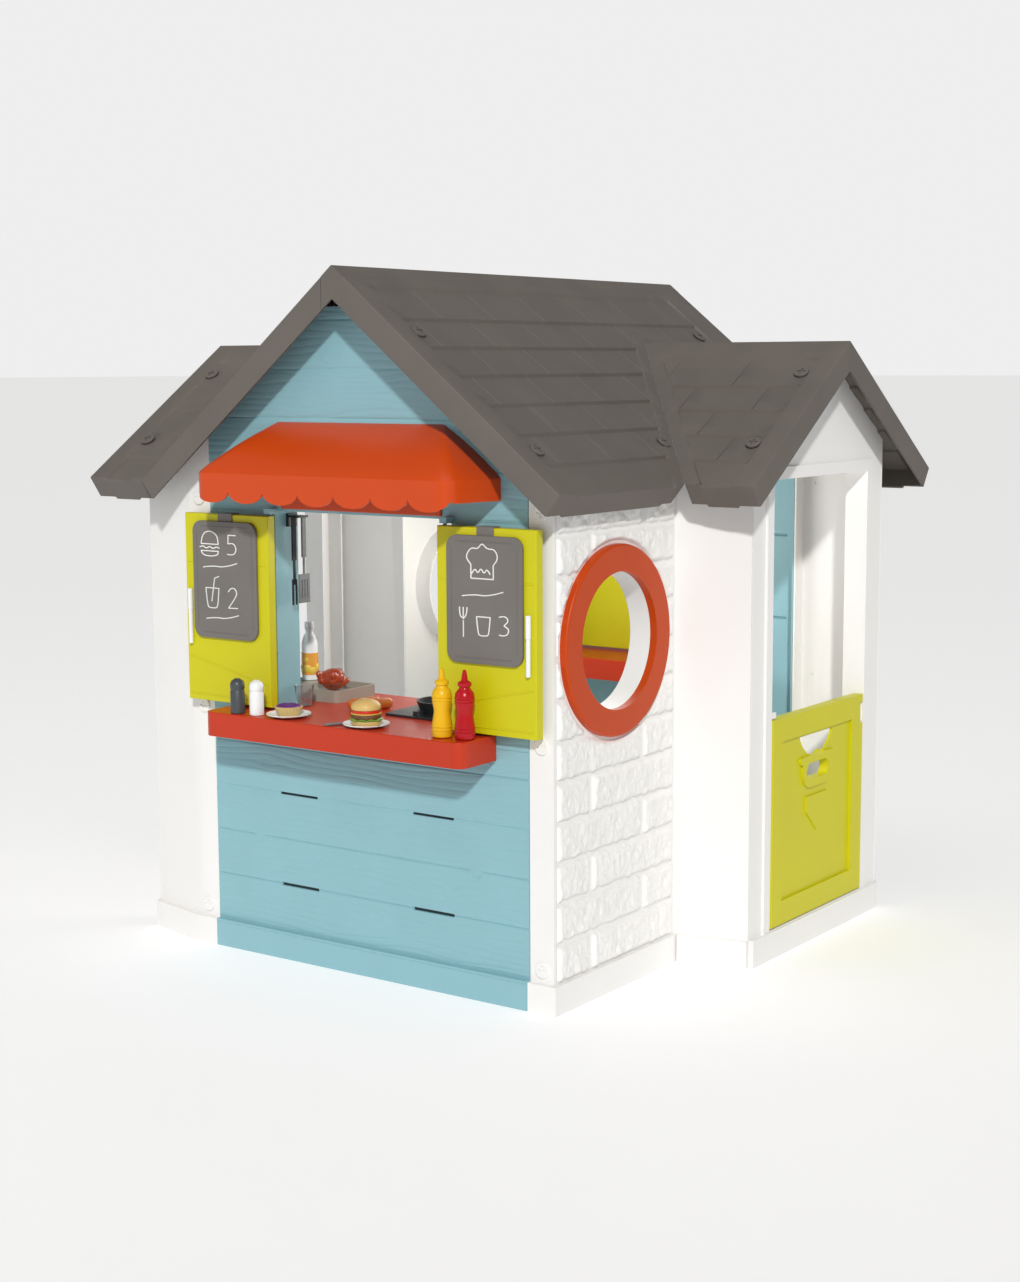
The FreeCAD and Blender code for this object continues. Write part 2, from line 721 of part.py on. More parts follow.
def half_door():
    """Half door with a rounded hinge edge, a scooped top, a hand slot and a latch notch."""
    slab = box(leaf_x0, leaf_x1, hinge_y, leaf_y1, leaf_bottom, leaf_top)
    knuckle = rod((hinge_x, hinge_y, leaf_bottom), (0, 0, 1), leaf_knuckle, leaf_top - leaf_bottom)
    leaf = join([slab, knuckle])
    inner_y0, inner_y1 = leaf_y0 + leaf_margin, leaf_y1 - leaf_margin
    recess = box(leaf_x1 - leaf_recess, leaf_x1 + EPS, inner_y0, inner_y1,
                 leaf_bottom + leaf_margin, leaf_top - leaf_margin)
    back = box(leaf_x0 - EPS, leaf_x1 - leaf_recess - leaf_skin, inner_y0, inner_y1,
               leaf_bottom + leaf_margin, leaf_top - leaf_margin)
    collar = oval(bay_y, handle_height, handle_length + 2 * handle_collar,
                  handle_width + 2 * handle_collar, leaf_x0, leaf_x1 - 1)
    slot = oval(bay_y, handle_height, handle_length, handle_width, leaf_x0 - EPS, leaf_x1 + EPS)
    scoop_r = (notch_width ** 2 / 4 + notch_depth ** 2) / (2 * notch_depth)
    scoop_z = leaf_top - leaf_margin
    scoop = rod((leaf_x0 - EPS, bay_y, scoop_z + scoop_r - notch_depth), (1, 0, 0), scoop_r,
                leaf_thick + 2 * EPS)
    scoop = scoop.common(box(leaf_x0 - EPS, leaf_x1 + EPS, inner_y0, inner_y1,
                             scoop_z - notch_depth - EPS, scoop_z - leaf_skin))
    lip = oval(bay_y, scoop_z - notch_depth - notch_lip / 4, notch_width, notch_lip,
               leaf_x0 + leaf_skin, leaf_x1 - 1)
    top = leaf_top - shield_drop
    shield = prism_x([(bay_y - shield_half, top), (bay_y - shield_half, top - shield_side),
                      (bay_y, top - shield_tip), (bay_y + shield_half, top - shield_side),
                      (bay_y + shield_half, top)], leaf_x1 - leaf_recess - leaf_skin, leaf_x1 - 2)
    latch_cut = box(leaf_x0 - EPS, leaf_x1 + EPS, leaf_y1 - latch_size / 2, leaf_y1 + EPS,
                    latch_height - latch_size, latch_height + latch_size)
    body = leaf.cut([recess, back])
    body = join([body, collar, shield, lip]).cut([slot, scoop, latch_cut])
    bore = pin_radius + pin_running
    bores = [rod((hinge_x, hinge_y, z), (0, 0, 1), bore, pin_grip + EPS)
             for z in (leaf_bottom - EPS, leaf_top - pin_grip)]
    return body.cut(bores)


def door_pins():
    """Pins of the half door, held by the sill below and by a lug above."""
    grip = pin_grip - EPS
    low = door_sill - wall_skin
    high = leaf_top + lug_gap + lug_height
    return [rod((hinge_x, hinge_y, low), (0, 0, 1), pin_radius, leaf_bottom + grip - low),
            rod((hinge_x, hinge_y, leaf_top - grip), (0, 0, 1), pin_radius, high - leaf_top + grip)]


def hinged_door_panel():
    """The right doorway, with the lug and the holes for the half door's pins."""
    jamb_y = bay_y - door_width / 2
    z0 = leaf_top + lug_gap
    lug = box(hinge_x - 9, hinge_x + 9, jamb_y - EPS, hinge_y + 9, z0, z0 + lug_height)
    body = join([bay_door_panel(), lug])
    return body.cut([rod((hinge_x, hinge_y, z), (0, 0, 1), pin_radius, length)
                     for z, length in ((z0 - EPS, lug_height + 2 * EPS),
                                       (door_sill - wall_skin, wall_skin + EPS))])


def latch_clip():
    """Catch on the door frame that sits in the notch of the half door."""
    jamb_y = bay_y + door_width / 2
    plate = box(leaf_x0, leaf_x1 - 4, jamb_y - 3, jamb_y, latch_height - latch_size * 0.8,
                latch_height + latch_size * 0.8)
    tongue = box(leaf_x0 + 2, leaf_x1 - 8, jamb_y - latch_size / 2, jamb_y - 2,
                 latch_height - latch_size * 0.4, latch_height + latch_size * 0.4)
    return join([plate, tongue])


def cup_shape(place, radius, top_radius, height, wall_thick, base):
    """Open round vessel with sloping sides, standing on z=base."""
    x, y = place
    outer = Part.makeCone(radius, top_radius, height, V(x, y, base))
    inner = Part.makeCone(radius - wall_thick, top_radius - wall_thick, height,
                          V(x, y, base + wall_thick))
    return outer.cut(inner)


def on_worktop(place):
    """X and Y of a kitchen place."""
    return place[0], place[1] - wall_y


def sink_basin():
    length, width, height = sink_size
    x, y = on_worktop(sink_place)
    x0, x1 = x - length / 2, x + length / 2
    y0, y1 = y - width / 2, y + width / 2
    outer = box(x0, x1, y0, y1, counter_top, counter_top + height)
    outer = outer.makeFillet(14.0, [e for e in outer.Edges if e.BoundBox.ZLength > height - 0.1])
    bowl = box(x0 + drainer_length, x1 - sink_wall, y0 + sink_wall, y1 - sink_wall,
               counter_top + bowl_floor, counter_top + height + EPS)
    rounded = bowl.makeFillet(10.0, [e for e in bowl.Edges if e.BoundBox.ZLength > bowl_floor])
    return outer.cut(rounded)


def hob_plate():
    length, width, height = hob_size
    x, y = on_worktop(hob_place)
    top = counter_top + height
    plate = box(x - length / 2, x + length / 2, y - width / 2, y + width / 2, counter_top, top)
    plate = plate.makeFillet(12.0, [e for e in plate.Edges if e.BoundBox.ZLength > height - 0.1])
    knobs = [rod((x + dx, y - width / 2 + knob_inset, top), (0, 0, 1), knob_radius, 7)
             for dx in (-30, 30)]
    return join([plate] + knobs)


def frying_pan():
    x, y = on_worktop(pan_place)
    base = counter_top + hob_size[2]
    reach, width, thick = pan_handle
    bowl = cup_shape((x, y), pan_radius - 8, pan_radius, pan_height, pan_wall, base)
    top = base + pan_height - 2
    handle = box(x - width / 2, x + width / 2, y + pan_radius - 5, y + pan_radius + reach,
                 top - thick, top)
    cavity = Part.makeCone(pan_radius - 8 - pan_wall, pan_radius - pan_wall, pan_height,
                           V(x, y, base + pan_wall))
    return bowl.fuse(handle.cut(cavity)).removeSplitter()


def bottle():
    """Juice bottle standing on the drainer."""
    x, y = on_worktop(bottle_place)
    base = counter_top + sink_size[2]
    body = rod((x, y, base), (0, 0, 1), bottle_radius, bottle_body)
    shoulder = Part.makeCone(bottle_radius, cap_radius - 1, 16, V(x, y, base + bottle_body))
    neck = rod((x, y, base + bottle_body), (0, 0, 1), cap_radius - 2, bottle_neck)
    return join([body, shoulder, neck])


def bottle_cap():
    x, y = on_worktop(bottle_place)
    base = counter_top + sink_size[2] + bottle_body + bottle_neck
    return rod((x, y, base), (0, 0, 1), cap_radius, cap_height)


def roast():
    """Roast bird in the sink bowl, with two drumsticks."""
    x, y = on_worktop(roast_place)
    base = counter_top + bowl_floor
    waist = base + roast_height * 0.4
    lower = Part.makeCone(roast_radius - 9, roast_radius, waist - base, V(x, y, base))
    upper = Part.makeCone(roast_radius, roast_radius / 2, roast_height * 0.6, V(x, y, waist))
    legs = [rod((x + side * 16, y - 8, waist - 4), (side * 0.6, -0.6, 0.5), leg_radius, leg_length)
            for side in (-1, 1)]
    return join([lower, upper] + legs)


def sausages():
    x, y = on_worktop(sausage_place)
    return [rod((x + 30 * i, y, counter_top + sausage_radius), (0.35, 1, 0), sausage_radius,
                sausage_length) for i in (0, 1)]


def cards():
    """Two recipe cards lying on the worktop."""
    length, width, thick = card_size
    corners = [on_worktop(place) for place in card_places]
    return [box(x, x + length, y, y + width, counter_top, counter_top + thick)
            for x, y in corners]


jamb_x = -window_width / 2
rail_y = rail_inset - wall_y
rail_top = rail_height + 22
hang_top = rail_top - rail_plate - 0.5


def utensil_rail():
    back = box(jamb_x, jamb_x + 6, rail_y - rail_half, rail_y + rail_half, rail_height,
               rail_top + rail_plate)
    arm = box(jamb_x + 6 - EPS, jamb_x + rail_arm, rail_y - rail_half, rail_y + rail_half,
              rail_top - rail_plate, rail_top)
    return join([back, arm])


def hanging_bar(x, y, width, top, bottom, thick=utensil_thick):
    return box(x - thick / 2, x + thick / 2, y - width / 2, y + width / 2, bottom, top)


def spatula():
    x = jamb_x + 26
    y = rail_y + 7.5
    grip_end = hang_top - spatula_sizes[0]
    neck_end = grip_end - spatula_sizes[1]
    blade_end = neck_end - spatula_sizes[2]
    grip = hanging_bar(x, y, 11, hang_top, grip_end, 4)
    neck = hanging_bar(x, y, 5, grip_end + EPS, neck_end)
    blade = hanging_bar(x, y, 31, neck_end + EPS, blade_end)
    slots = [hanging_bar(x, y + 8 * i, 3, neck_end - 10, blade_end + 10, 6) for i in (-1, 0, 1)]
    return join([grip, neck, blade]).cut(slots)


def serving_fork():
    x = jamb_x + 14
    y = rail_y - 7.5
    grip_end = hang_top - fork_sizes[0]
    neck_end = grip_end - fork_sizes[1]
    grip = hanging_bar(x, y, 11, hang_top, grip_end, 4)
    neck = hanging_bar(x, y, 5, grip_end + EPS, neck_end)
    bridge = hanging_bar(x, y, 13, neck_end + EPS, neck_end - 10)
    tines = [hanging_bar(x, y + 5 * side, 3, neck_end - 9, neck_end - fork_sizes[2])
             for side in (-1, 1)]
    return join([grip, neck, bridge] + tines)


def export(name, solids):
    shape = solids[0] if len(solids) == 1 else Part.makeCompound(solids)
    shape = shape.copy()
    shape.translate(V(0, frame_shift, 0))
    shape.exportStep("parts/" + name + ".step")


def both_sides(shape):
    return {"right": shape, "left": half_turn(shape)}


os.makedirs("parts", exist_ok=True)

export("front_wall", [front_wall()])
export("back_wall", [half_turn(front_wall())])
export("right_bay_door_panel", [hinged_door_panel()])
export("left_bay_door_panel", [half_turn(bay_door_panel())])

paired = {"brick_panel": brick_panel(), "bay_front_panel": bay_front_panel(),
          "bay_back_panel": bay_back_panel(), "window_ring": window_ring()}
screws_on_roof = []
main_slope, main_screws = main_roof_half()
paired["main_roof"] = main_slope
screws_on_roof += main_screws
for side, word in ((-1, "front"), (1, "back")):
    bay_slope_shape, bay_screws = bay_roof_half(side)
    paired["bay_roof_" + word] = bay_slope_shape
    screws_on_roof += bay_screws
for label, shape in paired.items():
    for hand, piece in both_sides(shape).items():
        export(hand + "_" + label, [piece])

export("ridge_cap", [ridge_cap()])
export("roof_screws", screws_on_roof + [half_turn(s) for s in screws_on_roof])
wall_screws = post_screws()
export("wall_screws", wall_screws + [half_turn(s) for s in wall_screws])

open_leaf, board, pen = shutter(), chalkboard(), marker()
export("front_right_shutter", [open_leaf])
export("front_left_shutter", [flipped(open_leaf)])
export("back_right_shutter", [half_turn(flipped(open_leaf))])
export("back_left_shutter", [half_turn(shut(open_leaf))])
export("chalkboard_right", [board])
export("chalkboard_left", [flipped(board)])
export("marker_right", [pen])
export("marker_left", [flipped(pen)])
pins = shutter_pins()
pins += [flipped(p) for p in pins]
export("shutter_hinge_pins", pins + [half_turn(p) for p in pins])

export("front_counter", [counter(worktop_depth)])
export("back_counter", [half_turn(counter(back_worktop_depth))])
export("front_awning", [awning()])

export("half_door", [half_door()])
export("door_hinge_pins", door_pins())
export("door_latch_clip", [latch_clip()])

export("sink_basin", [sink_basin()])
export("hob_plate", [hob_plate()])
export("frying_pan", [frying_pan()])
export("juice_bottle", [bottle()])
export("juice_bottle_cap", [bottle_cap()])
export("drinking_cup", [cup_shape(on_worktop(cup_place), cup_radius * 0.75, cup_radius,
                                  cup_height, 2, counter_top)])
export("roast_chicken", [roast()])
export("sausages", sausages())
export("recipe_cards", cards())
export("utensil_rail", [utensil_rail()])
export("spatula", [spatula()])
export("serving_fork", [serving_fork()])
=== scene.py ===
import bpy
import bmesh
import math
import random
from mathutils import Matrix, Vector, noise


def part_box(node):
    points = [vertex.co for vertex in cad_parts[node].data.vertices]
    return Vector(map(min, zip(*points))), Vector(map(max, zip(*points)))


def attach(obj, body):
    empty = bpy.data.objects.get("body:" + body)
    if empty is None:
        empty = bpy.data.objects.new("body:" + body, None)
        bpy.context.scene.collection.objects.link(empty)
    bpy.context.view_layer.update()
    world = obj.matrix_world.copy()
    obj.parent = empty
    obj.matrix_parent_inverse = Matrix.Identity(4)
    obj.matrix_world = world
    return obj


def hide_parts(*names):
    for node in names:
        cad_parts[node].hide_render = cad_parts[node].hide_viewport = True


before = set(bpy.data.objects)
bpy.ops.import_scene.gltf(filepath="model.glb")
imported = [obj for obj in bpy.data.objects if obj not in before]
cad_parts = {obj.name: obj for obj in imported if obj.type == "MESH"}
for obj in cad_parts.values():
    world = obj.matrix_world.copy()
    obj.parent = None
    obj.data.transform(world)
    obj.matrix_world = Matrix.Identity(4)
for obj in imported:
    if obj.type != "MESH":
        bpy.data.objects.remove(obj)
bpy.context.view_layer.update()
random.seed(7)
print("playhouse frame loaded")

middle = 0.010    # the house's own centre line along Y; sizes below are millimetres from it


def at(x, y, z):
    return Vector((x / 1000, y / 1000 + middle, z / 1000))


# working helpers

def deselect():
    if bpy.context.object and bpy.context.object.mode != "OBJECT":
        bpy.ops.object.mode_set(mode="OBJECT")
    for item in list(bpy.context.selected_objects):
        item.select_set(False)


def pick(*pieces):
    deselect()
    for piece in pieces:
        piece.select_set(True)
    bpy.context.view_layer.objects.active = pieces[0]


def choose(piece, kind, test):
    # edit mode with only the parts selected that pass the test
    pick(piece)
    bpy.ops.object.mode_set(mode="EDIT")
    bpy.ops.mesh.select_mode(type=kind)
    bpy.ops.mesh.select_all(action="DESELECT")
    shape = bmesh.from_edit_mesh(piece.data)
    parts = {"VERT": shape.verts, "EDGE": shape.edges, "FACE": shape.faces}[kind]
    for part in parts:
        if test(part):
            part.select_set(True)
    shape.select_flush_mode()
    bmesh.update_edit_mesh(piece.data)


def place(piece, matrix=None):
    # puts the piece's place into its mesh
    if matrix is not None:
        piece.matrix_world = matrix
    pick(piece)
    bpy.ops.object.transform_apply(location=True, rotation=True, scale=True)
    return piece


def applyAll(piece):
    pick(piece)
    for step in list(piece.modifiers):
        bpy.ops.object.modifier_apply(modifier=step.name)


def soften(piece, width=1.2, segments=2, angle=30, even=True):
    # rounded edges and clean shading, width in millimetres
    pick(piece)
    step = piece.modifiers.new("edges", "BEVEL")
    step.width = width / 1000
    step.segments = segments
    step.limit_method = "ANGLE"
    step.angle_limit = math.radians(angle)
    step.use_clamp_overlap = True
    applyAll(piece)
    return shade(piece, even=even)


def shade(piece, angle=50, even=True):
    pick(piece)
    bpy.ops.object.shade_smooth_by_angle(angle=math.radians(angle))
    if even:
        step = piece.modifiers.new("even", "WEIGHTED_NORMAL")
        step.keep_sharp = True
        applyAll(piece)
    return piece


def outward(piece):
    pick(piece)
    bpy.ops.object.mode_set(mode="EDIT")
    bpy.ops.mesh.select_all(action="SELECT")
    bpy.ops.mesh.remove_doubles(threshold=0.00002)
    bpy.ops.mesh.normals_make_consistent(inside=False)
    bpy.ops.object.mode_set(mode="OBJECT")
    return piece


def joined(pieces):
    pick(*pieces)
    if len(pieces) > 1:
        bpy.ops.object.join()
    return bpy.context.view_layer.objects.active


def copied(piece):
    pick(piece)
    bpy.ops.object.duplicate(linked=False)
    return bpy.context.view_layer.objects.active


def turned(piece):
    # the same piece after half a turn about the house's middle
    other = copied(piece)
    half = Matrix.Translation((0, middle,
                               0)) @ Matrix.Rotation(math.pi, 4, "Z") @ Matrix.Translation((0, -middle, 0))
    return place(other, half @ other.matrix_world)


def hand(piece, name, body, finish, slot, *nodes):
    # gives the piece its name, finish and body
    place(piece)
    piece.name = name
    piece.data.name = name
    piece.data.materials.clear()
    piece.data.materials.append(finish)
    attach(piece, body)
    if nodes:
        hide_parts(*nodes)
    return piece


def fromNode(node, width=1.2, segments=2, angle=30):
    # a merged copy of a frame part with rounded edges
    deselect()
    piece = bpy.data.objects.new(node + "Form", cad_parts[node].data.copy())
    bpy.context.scene.collection.objects.link(piece)
    pick(piece)
    if piece.data.has_custom_normals:
        bpy.ops.mesh.customdata_custom_splitnormals_clear()
    bpy.ops.object.mode_set(mode="EDIT")
    bpy.ops.mesh.select_all(action="SELECT")
    bpy.ops.mesh.remove_doubles(threshold=0.00002)
    bpy.ops.mesh.dissolve_limited(angle_limit=math.radians(0.6))
    bpy.ops.object.mode_set(mode="OBJECT")
    return soften(piece, width, segments, angle)


def block(x0, x1, y0, y1, z0, z1, width=1.0, segments=2):
    deselect()
    bpy.ops.mesh.primitive_cube_add(size=1, location=at((x0 + x1) / 2, (y0 + y1) / 2, (z0 + z1) / 2),
                                    scale=((x1 - x0) / 1000, (y1 - y0) / 1000, (z1 - z0) / 1000))
    piece = place(bpy.context.object)
    return soften(piece, width, segments) if width else piece


def outline(corners, push):
    # a flat outline of corner points, pushed along a vector
    deselect()
    bpy.ops.mesh.primitive_circle_add(vertices=len(corners), radius=1, fill_type="NGON", location=(0, 0, 0))
    piece = bpy.context.object
    for vertex, corner in zip(piece.data.vertices, corners):
        vertex.co = at(*corner)
    bpy.ops.object.mode_set(mode="EDIT")
    bpy.ops.mesh.select_all(action="SELECT")
    bpy.ops.mesh.extrude_region_move(TRANSFORM_OT_translate={"value": [v / 1000 for v in push]})
    bpy.ops.object.mode_set(mode="OBJECT")
    return outward(piece)


def lathe(x, y, profile, steps=32):
    # (radius, height) rings drawn up one after another from a disc
    deselect()
    radius, height = profile[0]
    centre = at(x, y, height)
    bpy.ops.mesh.primitive_circle_add(vertices=steps, radius=radius / 1000, fill_type="NGON",
                                      location=centre)
    piece = place(bpy.context.object)
    bpy.ops.object.mode_set(mode="EDIT")
    bpy.ops.mesh.select_all(action="SELECT")
    for wide, high in profile[1:]:
        bpy.ops.mesh.extrude_region_move(TRANSFORM_OT_translate={"value": (0, 0, (high - height) / 1000)})
        share = wide / radius
        bpy.ops.transform.resize(value=(share, share, 1), center_override=at(x, y, high))
        radius, height = wide, high
    bpy.ops.object.mode_set(mode="OBJECT")
    return outward(piece)


def sheet(columns, rows, spot):
    # a grid whose columns and rows lie at the given values; spot turns each pair into a point
    deselect()
    bpy.ops.mesh.primitive_grid_add(x_subdivisions=len(columns) - 1, y_subdivisions=len(rows) - 1,
                                    size=2, location=(0, 0, 0))
    piece = bpy.context.object
    for vertex in piece.data.vertices:
        i = round((vertex.co.x + 1) / 2 * (len(columns) - 1))
        j = round((vertex.co.y + 1) / 2 * (len(rows) - 1))
        vertex.co = spot(columns[i], rows[j])
    return piece


def spread(first, last, pitch):
    count = max(1, round(abs(last - first) / pitch))
    return [first + (last - first) * i / count for i in range(count + 1)]


# finishes

def plastic(name, colour, rough=0.45, grain=900, depth=0.06, mottle=0.04, coat=0.0, streak=None, shine=0.5):
    # moulded plastic: fine grain in the surface, faint unevenness of colour and gloss
    finish = bpy.data.materials.new(name)
    finish.use_nodes = True
    nodes, links = finish.node_tree.nodes, finish.node_tree.links
    shader = nodes["Principled BSDF"]
    shader.inputs["Specular IOR Level"].default_value = shine
    shader.inputs["Coat Weight"].default_value = coat
    shader.inputs["Coat Roughness"].default_value = 0.12
    spot = nodes.new("ShaderNodeTexCoord")
    broad = nodes.new("ShaderNodeTexNoise")
    broad.inputs["Scale"].default_value = 9
    broad.inputs["Detail"].default_value = 5
    links.new(spot.outputs["Object"], broad.inputs["Vector"])
    tint = nodes.new("ShaderNodeValToRGB")
    tint.color_ramp.interpolation = "EASE"
    tint.color_ramp.elements[0].position = 0.15
    tint.color_ramp.elements[1].position = 0.85
    tint.color_ramp.elements[0].color = [c * (1 - mottle) for c in colour] + [1]
    tint.color_ramp.elements[1].color = [min(1, c * (1 + mottle)) for c in colour] + [1]
    links.new(broad.outputs["Fac"], tint.inputs["Fac"])
    links.new(tint.outputs["Color"], shader.inputs["Base Color"])
    fine = nodes.new("ShaderNodeTexNoise")
    fine.inputs["Scale"].default_value = grain
    fine.inputs["Detail"].default_value = 2
    links.new(spot.outputs["Object"], fine.inputs["Vector"])
    gloss = nodes.new("ShaderNodeMapRange")
    gloss.inputs["To Min"].default_value = rough - 0.06
    gloss.inputs["To Max"].default_value = rough + 0.08
    links.new(broad.outputs["Fac"], gloss.inputs["Value"])
    links.new(gloss.outputs["Result"], shader.inputs["Roughness"])
    relief = nodes.new("ShaderNodeBump")
    relief.inputs["Strength"].default_value = depth * 5
    relief.inputs["Distance"].default_value = 0.0004
    links.new(fine.outputs["Fac"], relief.inputs["Height"])
    last = relief
    if streak:
        # long fibres along X, for the wood-look planks
        stretch = nodes.new("ShaderNodeMapping")
        stretch.inputs["Scale"].default_value = streak
        links.new(spot.outputs["Object"], stretch.inputs["Vector"])
        fibre = nodes.new("ShaderNodeTexNoise")
        fibre.inputs["Scale"].default_value = 1
        fibre.inputs["Detail"].default_value = 6
        fibre.inputs["Distortion"].default_value = 0.6
        links.new(stretch.outputs["Vector"], fibre.inputs["Vector"])
        ridge = nodes.new("ShaderNodeBump")
        ridge.inputs["Strength"].default_value = 0.5
        ridge.inputs["Distance"].default_value = 0.0006
        links.new(fibre.outputs["Fac"], ridge.inputs["Height"])
        links.new(relief.outputs["Normal"], ridge.inputs["Normal"])
        last = ridge
    links.new(last.outputs["Normal"], shader.inputs["Normal"])
    return finish


bluePlank = plastic("bluePlank", (0.255, 0.475, 0.535), rough=0.5, streak=(14, 60, 420), mottle=0.03)
whiteWall = plastic("whiteWall", (0.86, 0.85, 0.835), rough=0.48, grain=700, mottle=0.012)
whiteStone = plastic("whiteStone", (0.87, 0.86, 0.84), rough=0.6, grain=450, depth=0.14, mottle=0.015)
roofGrain = plastic("roofGrain", (0.135, 0.118, 0.104), rough=0.62, grain=520, depth=0.16, mottle=0.07,
                    shine=0.4)
limeShell = plastic("limeShell", (0.60, 0.565, 0.004), rough=0.40, grain=800, mottle=0.02, shine=0.35)
redGloss = plastic("redGloss", (0.52, 0.034, 0.006), rough=0.32, mottle=0.02, coat=0.08, shine=0.3)
awningGloss = plastic("awningGloss", (0.60, 0.060, 0.003), rough=0.30, mottle=0.02, coat=0.1, shine=0.3)
orangeRing = plastic("orangeRing", (0.53, 0.055, 0.002), rough=0.38, mottle=0.02, shine=0.25)
slateBoard = plastic("slateBoard", (0.165, 0.152, 0.138), rough=0.55, grain=1100, mottle=0.08)
blackTool = plastic("blackTool", (0.016, 0.018, 0.020), rough=0.3, mottle=0.1)
greyTool = plastic("greyTool", (0.16, 0.165, 0.17), rough=0.3, mottle=0.1)
beigeTray = plastic("beigeTray", (0.33, 0.30, 0.25), rough=0.4, mottle=0.04)
chalk = plastic("chalk", (0.85, 0.85, 0.83), rough=0.9, grain=1500, depth=0.3, mottle=0.1)
whiteGloss = plastic("whiteGloss", (0.83, 0.84, 0.85), rough=0.22, mottle=0.01)
pepperGrey = plastic("pepperGrey", (0.055, 0.062, 0.068), rough=0.35, mottle=0.06)
mustardYellow = plastic("mustardYellow", (0.80, 0.46, 0.006), rough=0.32, mottle=0.02, shine=0.35)
ketchupRed = plastic("ketchupRed", (0.44, 0.004, 0.010), rough=0.24, mottle=0.02, shine=0.35)
bunTan = plastic("bunTan", (0.66, 0.44, 0.15), rough=0.45, grain=500, mottle=0.14)
crustTan = plastic("crustTan", (0.68, 0.50, 0.20), rough=0.5, grain=500, mottle=0.12)
berryPurple = plastic("berryPurple", (0.13, 0.015, 0.20), rough=0.5, grain=420, depth=0.5, mottle=0.18)
tomatoRed = plastic("tomatoRed", (0.60, 0.025, 0.010), rough=0.2, mottle=0.1)
pattyBrown = plastic("pattyBrown", (0.16, 0.060, 0.020), rough=0.5, grain=380, depth=0.6, mottle=0.25)
leafGreen = plastic("leafGreen", (0.20, 0.36, 0.04), rough=0.4, mottle=0.15)
cheeseYellow = plastic("cheeseYellow", (0.78, 0.55, 0.08), rough=0.35, mottle=0.05)
roastBrown = plastic("roastBrown", (0.36, 0.045, 0.012), rough=0.2, mottle=0.25, coat=0.4)
sausageTan = plastic("sausageTan", (0.52, 0.135, 0.022), rough=0.2, mottle=0.25, coat=0.3)
juiceLabel = plastic("juiceLabel", (0.74, 0.33, 0.05), rough=0.3, mottle=0.2)
cardPrint = plastic("cardPrint", (0.42, 0.62, 0.62), rough=0.35, grain=200, mottle=0.25)
print("finishes mixed")


# plank walls, front and back

planks = {"half": 386, "foot": 57.5, "pitch": 92.5, "first": 151, "face": -527.5, "proud": 1.1,
          "groove": 1.9, "tabs": (-274, 265), "tabRadius": 12,
          "knots": ((13, 304, 8), (24, 120, 11), (-129, 203, 9), (12, 263, 6), (-250, 395, 9),
                    (205, 205, 8),
                    (290, 445, 7), (-60, 1190, 12), (120, 1120, 9), (-130, 1105, 7), (300, 700, 8),
                    (-300, 650, 8))}


def plankLine(x, index):
    # height of a plank's lower groove; one groove steps round two half-round tabs
    level = planks["first"] + planks["pitch"] * index
    if index == 1:
        for tab in planks["tabs"]:
            reach = planks["tabRadius"] ** 2 - (x - tab) ** 2
            if reach > 0:
                return level - math.sqrt(reach)
    return level


def plankRelief(x, z):
    index = round((z - planks["first"]) / planks["pitch"])
    gap = min(abs(z - plankLine(x, i)) for i in (index - 1, index, index + 1))
    height = planks["proud"] - 2.6 * max(0, 1 - gap / planks["groove"]) - 0.4 * max(0, 1 - gap / 7)
    flow = z
    eye = 0
    for knotX, knotZ, size in planks["knots"]:
        far = math.hypot((x - knotX) / 2.4, z - knotZ) + 0.01
        if far < 9 * size:
            flow -= (z - knotZ) * min(1, (size / far) ** 2) * max(0, 1 - far / (9 * size))
            eye = max(eye, 1 - far / size)
    board = math.floor((z - planks["first"]) / planks["pitch"])
    wander = noise.noise(Vector((x / 190, flow / 60, board * 7.3)))
    bands = max(0, math.sin(flow / 2.3 + 7 * wander + board * 2)) ** 3
    fibre = noise.noise(Vector((x / 26, flow / 1.6, board)))
    patch = 0.5 + 0.5 * noise.noise(Vector((x / 120, z / 45, board + 40)))
    height += (0.26 * fibre - 1.5 * bands * patch) * min(1, gap / 5)
    if eye > 0:
        height += 0.4 * math.sin(eye * 9) - 0.5 * max(0, eye - 0.6)
    return height


def plankSkin(x0, x1, z0, z1, pitchX=3.0, pitchZ=1.8):
    piece = sheet(spread(x0, x1, pitchX), spread(z0, z1, pitchZ),
                  lambda x, z: at(x, planks["face"] - plankRelief(x, z), z))
    return piece


def trimmed(piece, point, normal, fill=False):
    # cuts off all that lies on the normal's side of a plane
    pick(piece)
    bpy.ops.object.mode_set(mode="EDIT")
    bpy.ops.mesh.select_all(action="SELECT")
    bpy.ops.mesh.bisect(plane_co=point, plane_no=normal, clear_outer=True, use_fill=fill)
    bpy.ops.object.mode_set(mode="OBJECT")
    return piece


def slotted(piece, levels):
    # opens the vent slots that lie in the grooves
    spans = [(x - 48.5, x + 48.5) for x in (-166, 166)]

    def inSlot(face):
        spot = face.calc_center_median() * 1000
        return any(abs(spot.z - level) < 3 for level in levels) and any(x0 < spot.x < x1 for x0, x1 in spans)

    choose(piece, "FACE", inSlot)
    bpy.ops.mesh.delete(type="FACE")
    bpy.ops.object.mode_set(mode="OBJECT")
    return piece


def edged(piece, push):
    # draws the open edges of a skin back into the wall behind it
    pick(piece)
    bpy.ops.object.mode_set(mode="EDIT")
    bpy.ops.mesh.select_mode(type="EDGE")
    bpy.ops.mesh.select_all(action="DESELECT")
    bpy.ops.mesh.select_non_manifold()
    bpy.ops.mesh.extrude_edges_move(TRANSFORM_OT_translate={"value": [v / 1000 for v in push]})
    bpy.ops.object.mode_set(mode="OBJECT")
    return piece


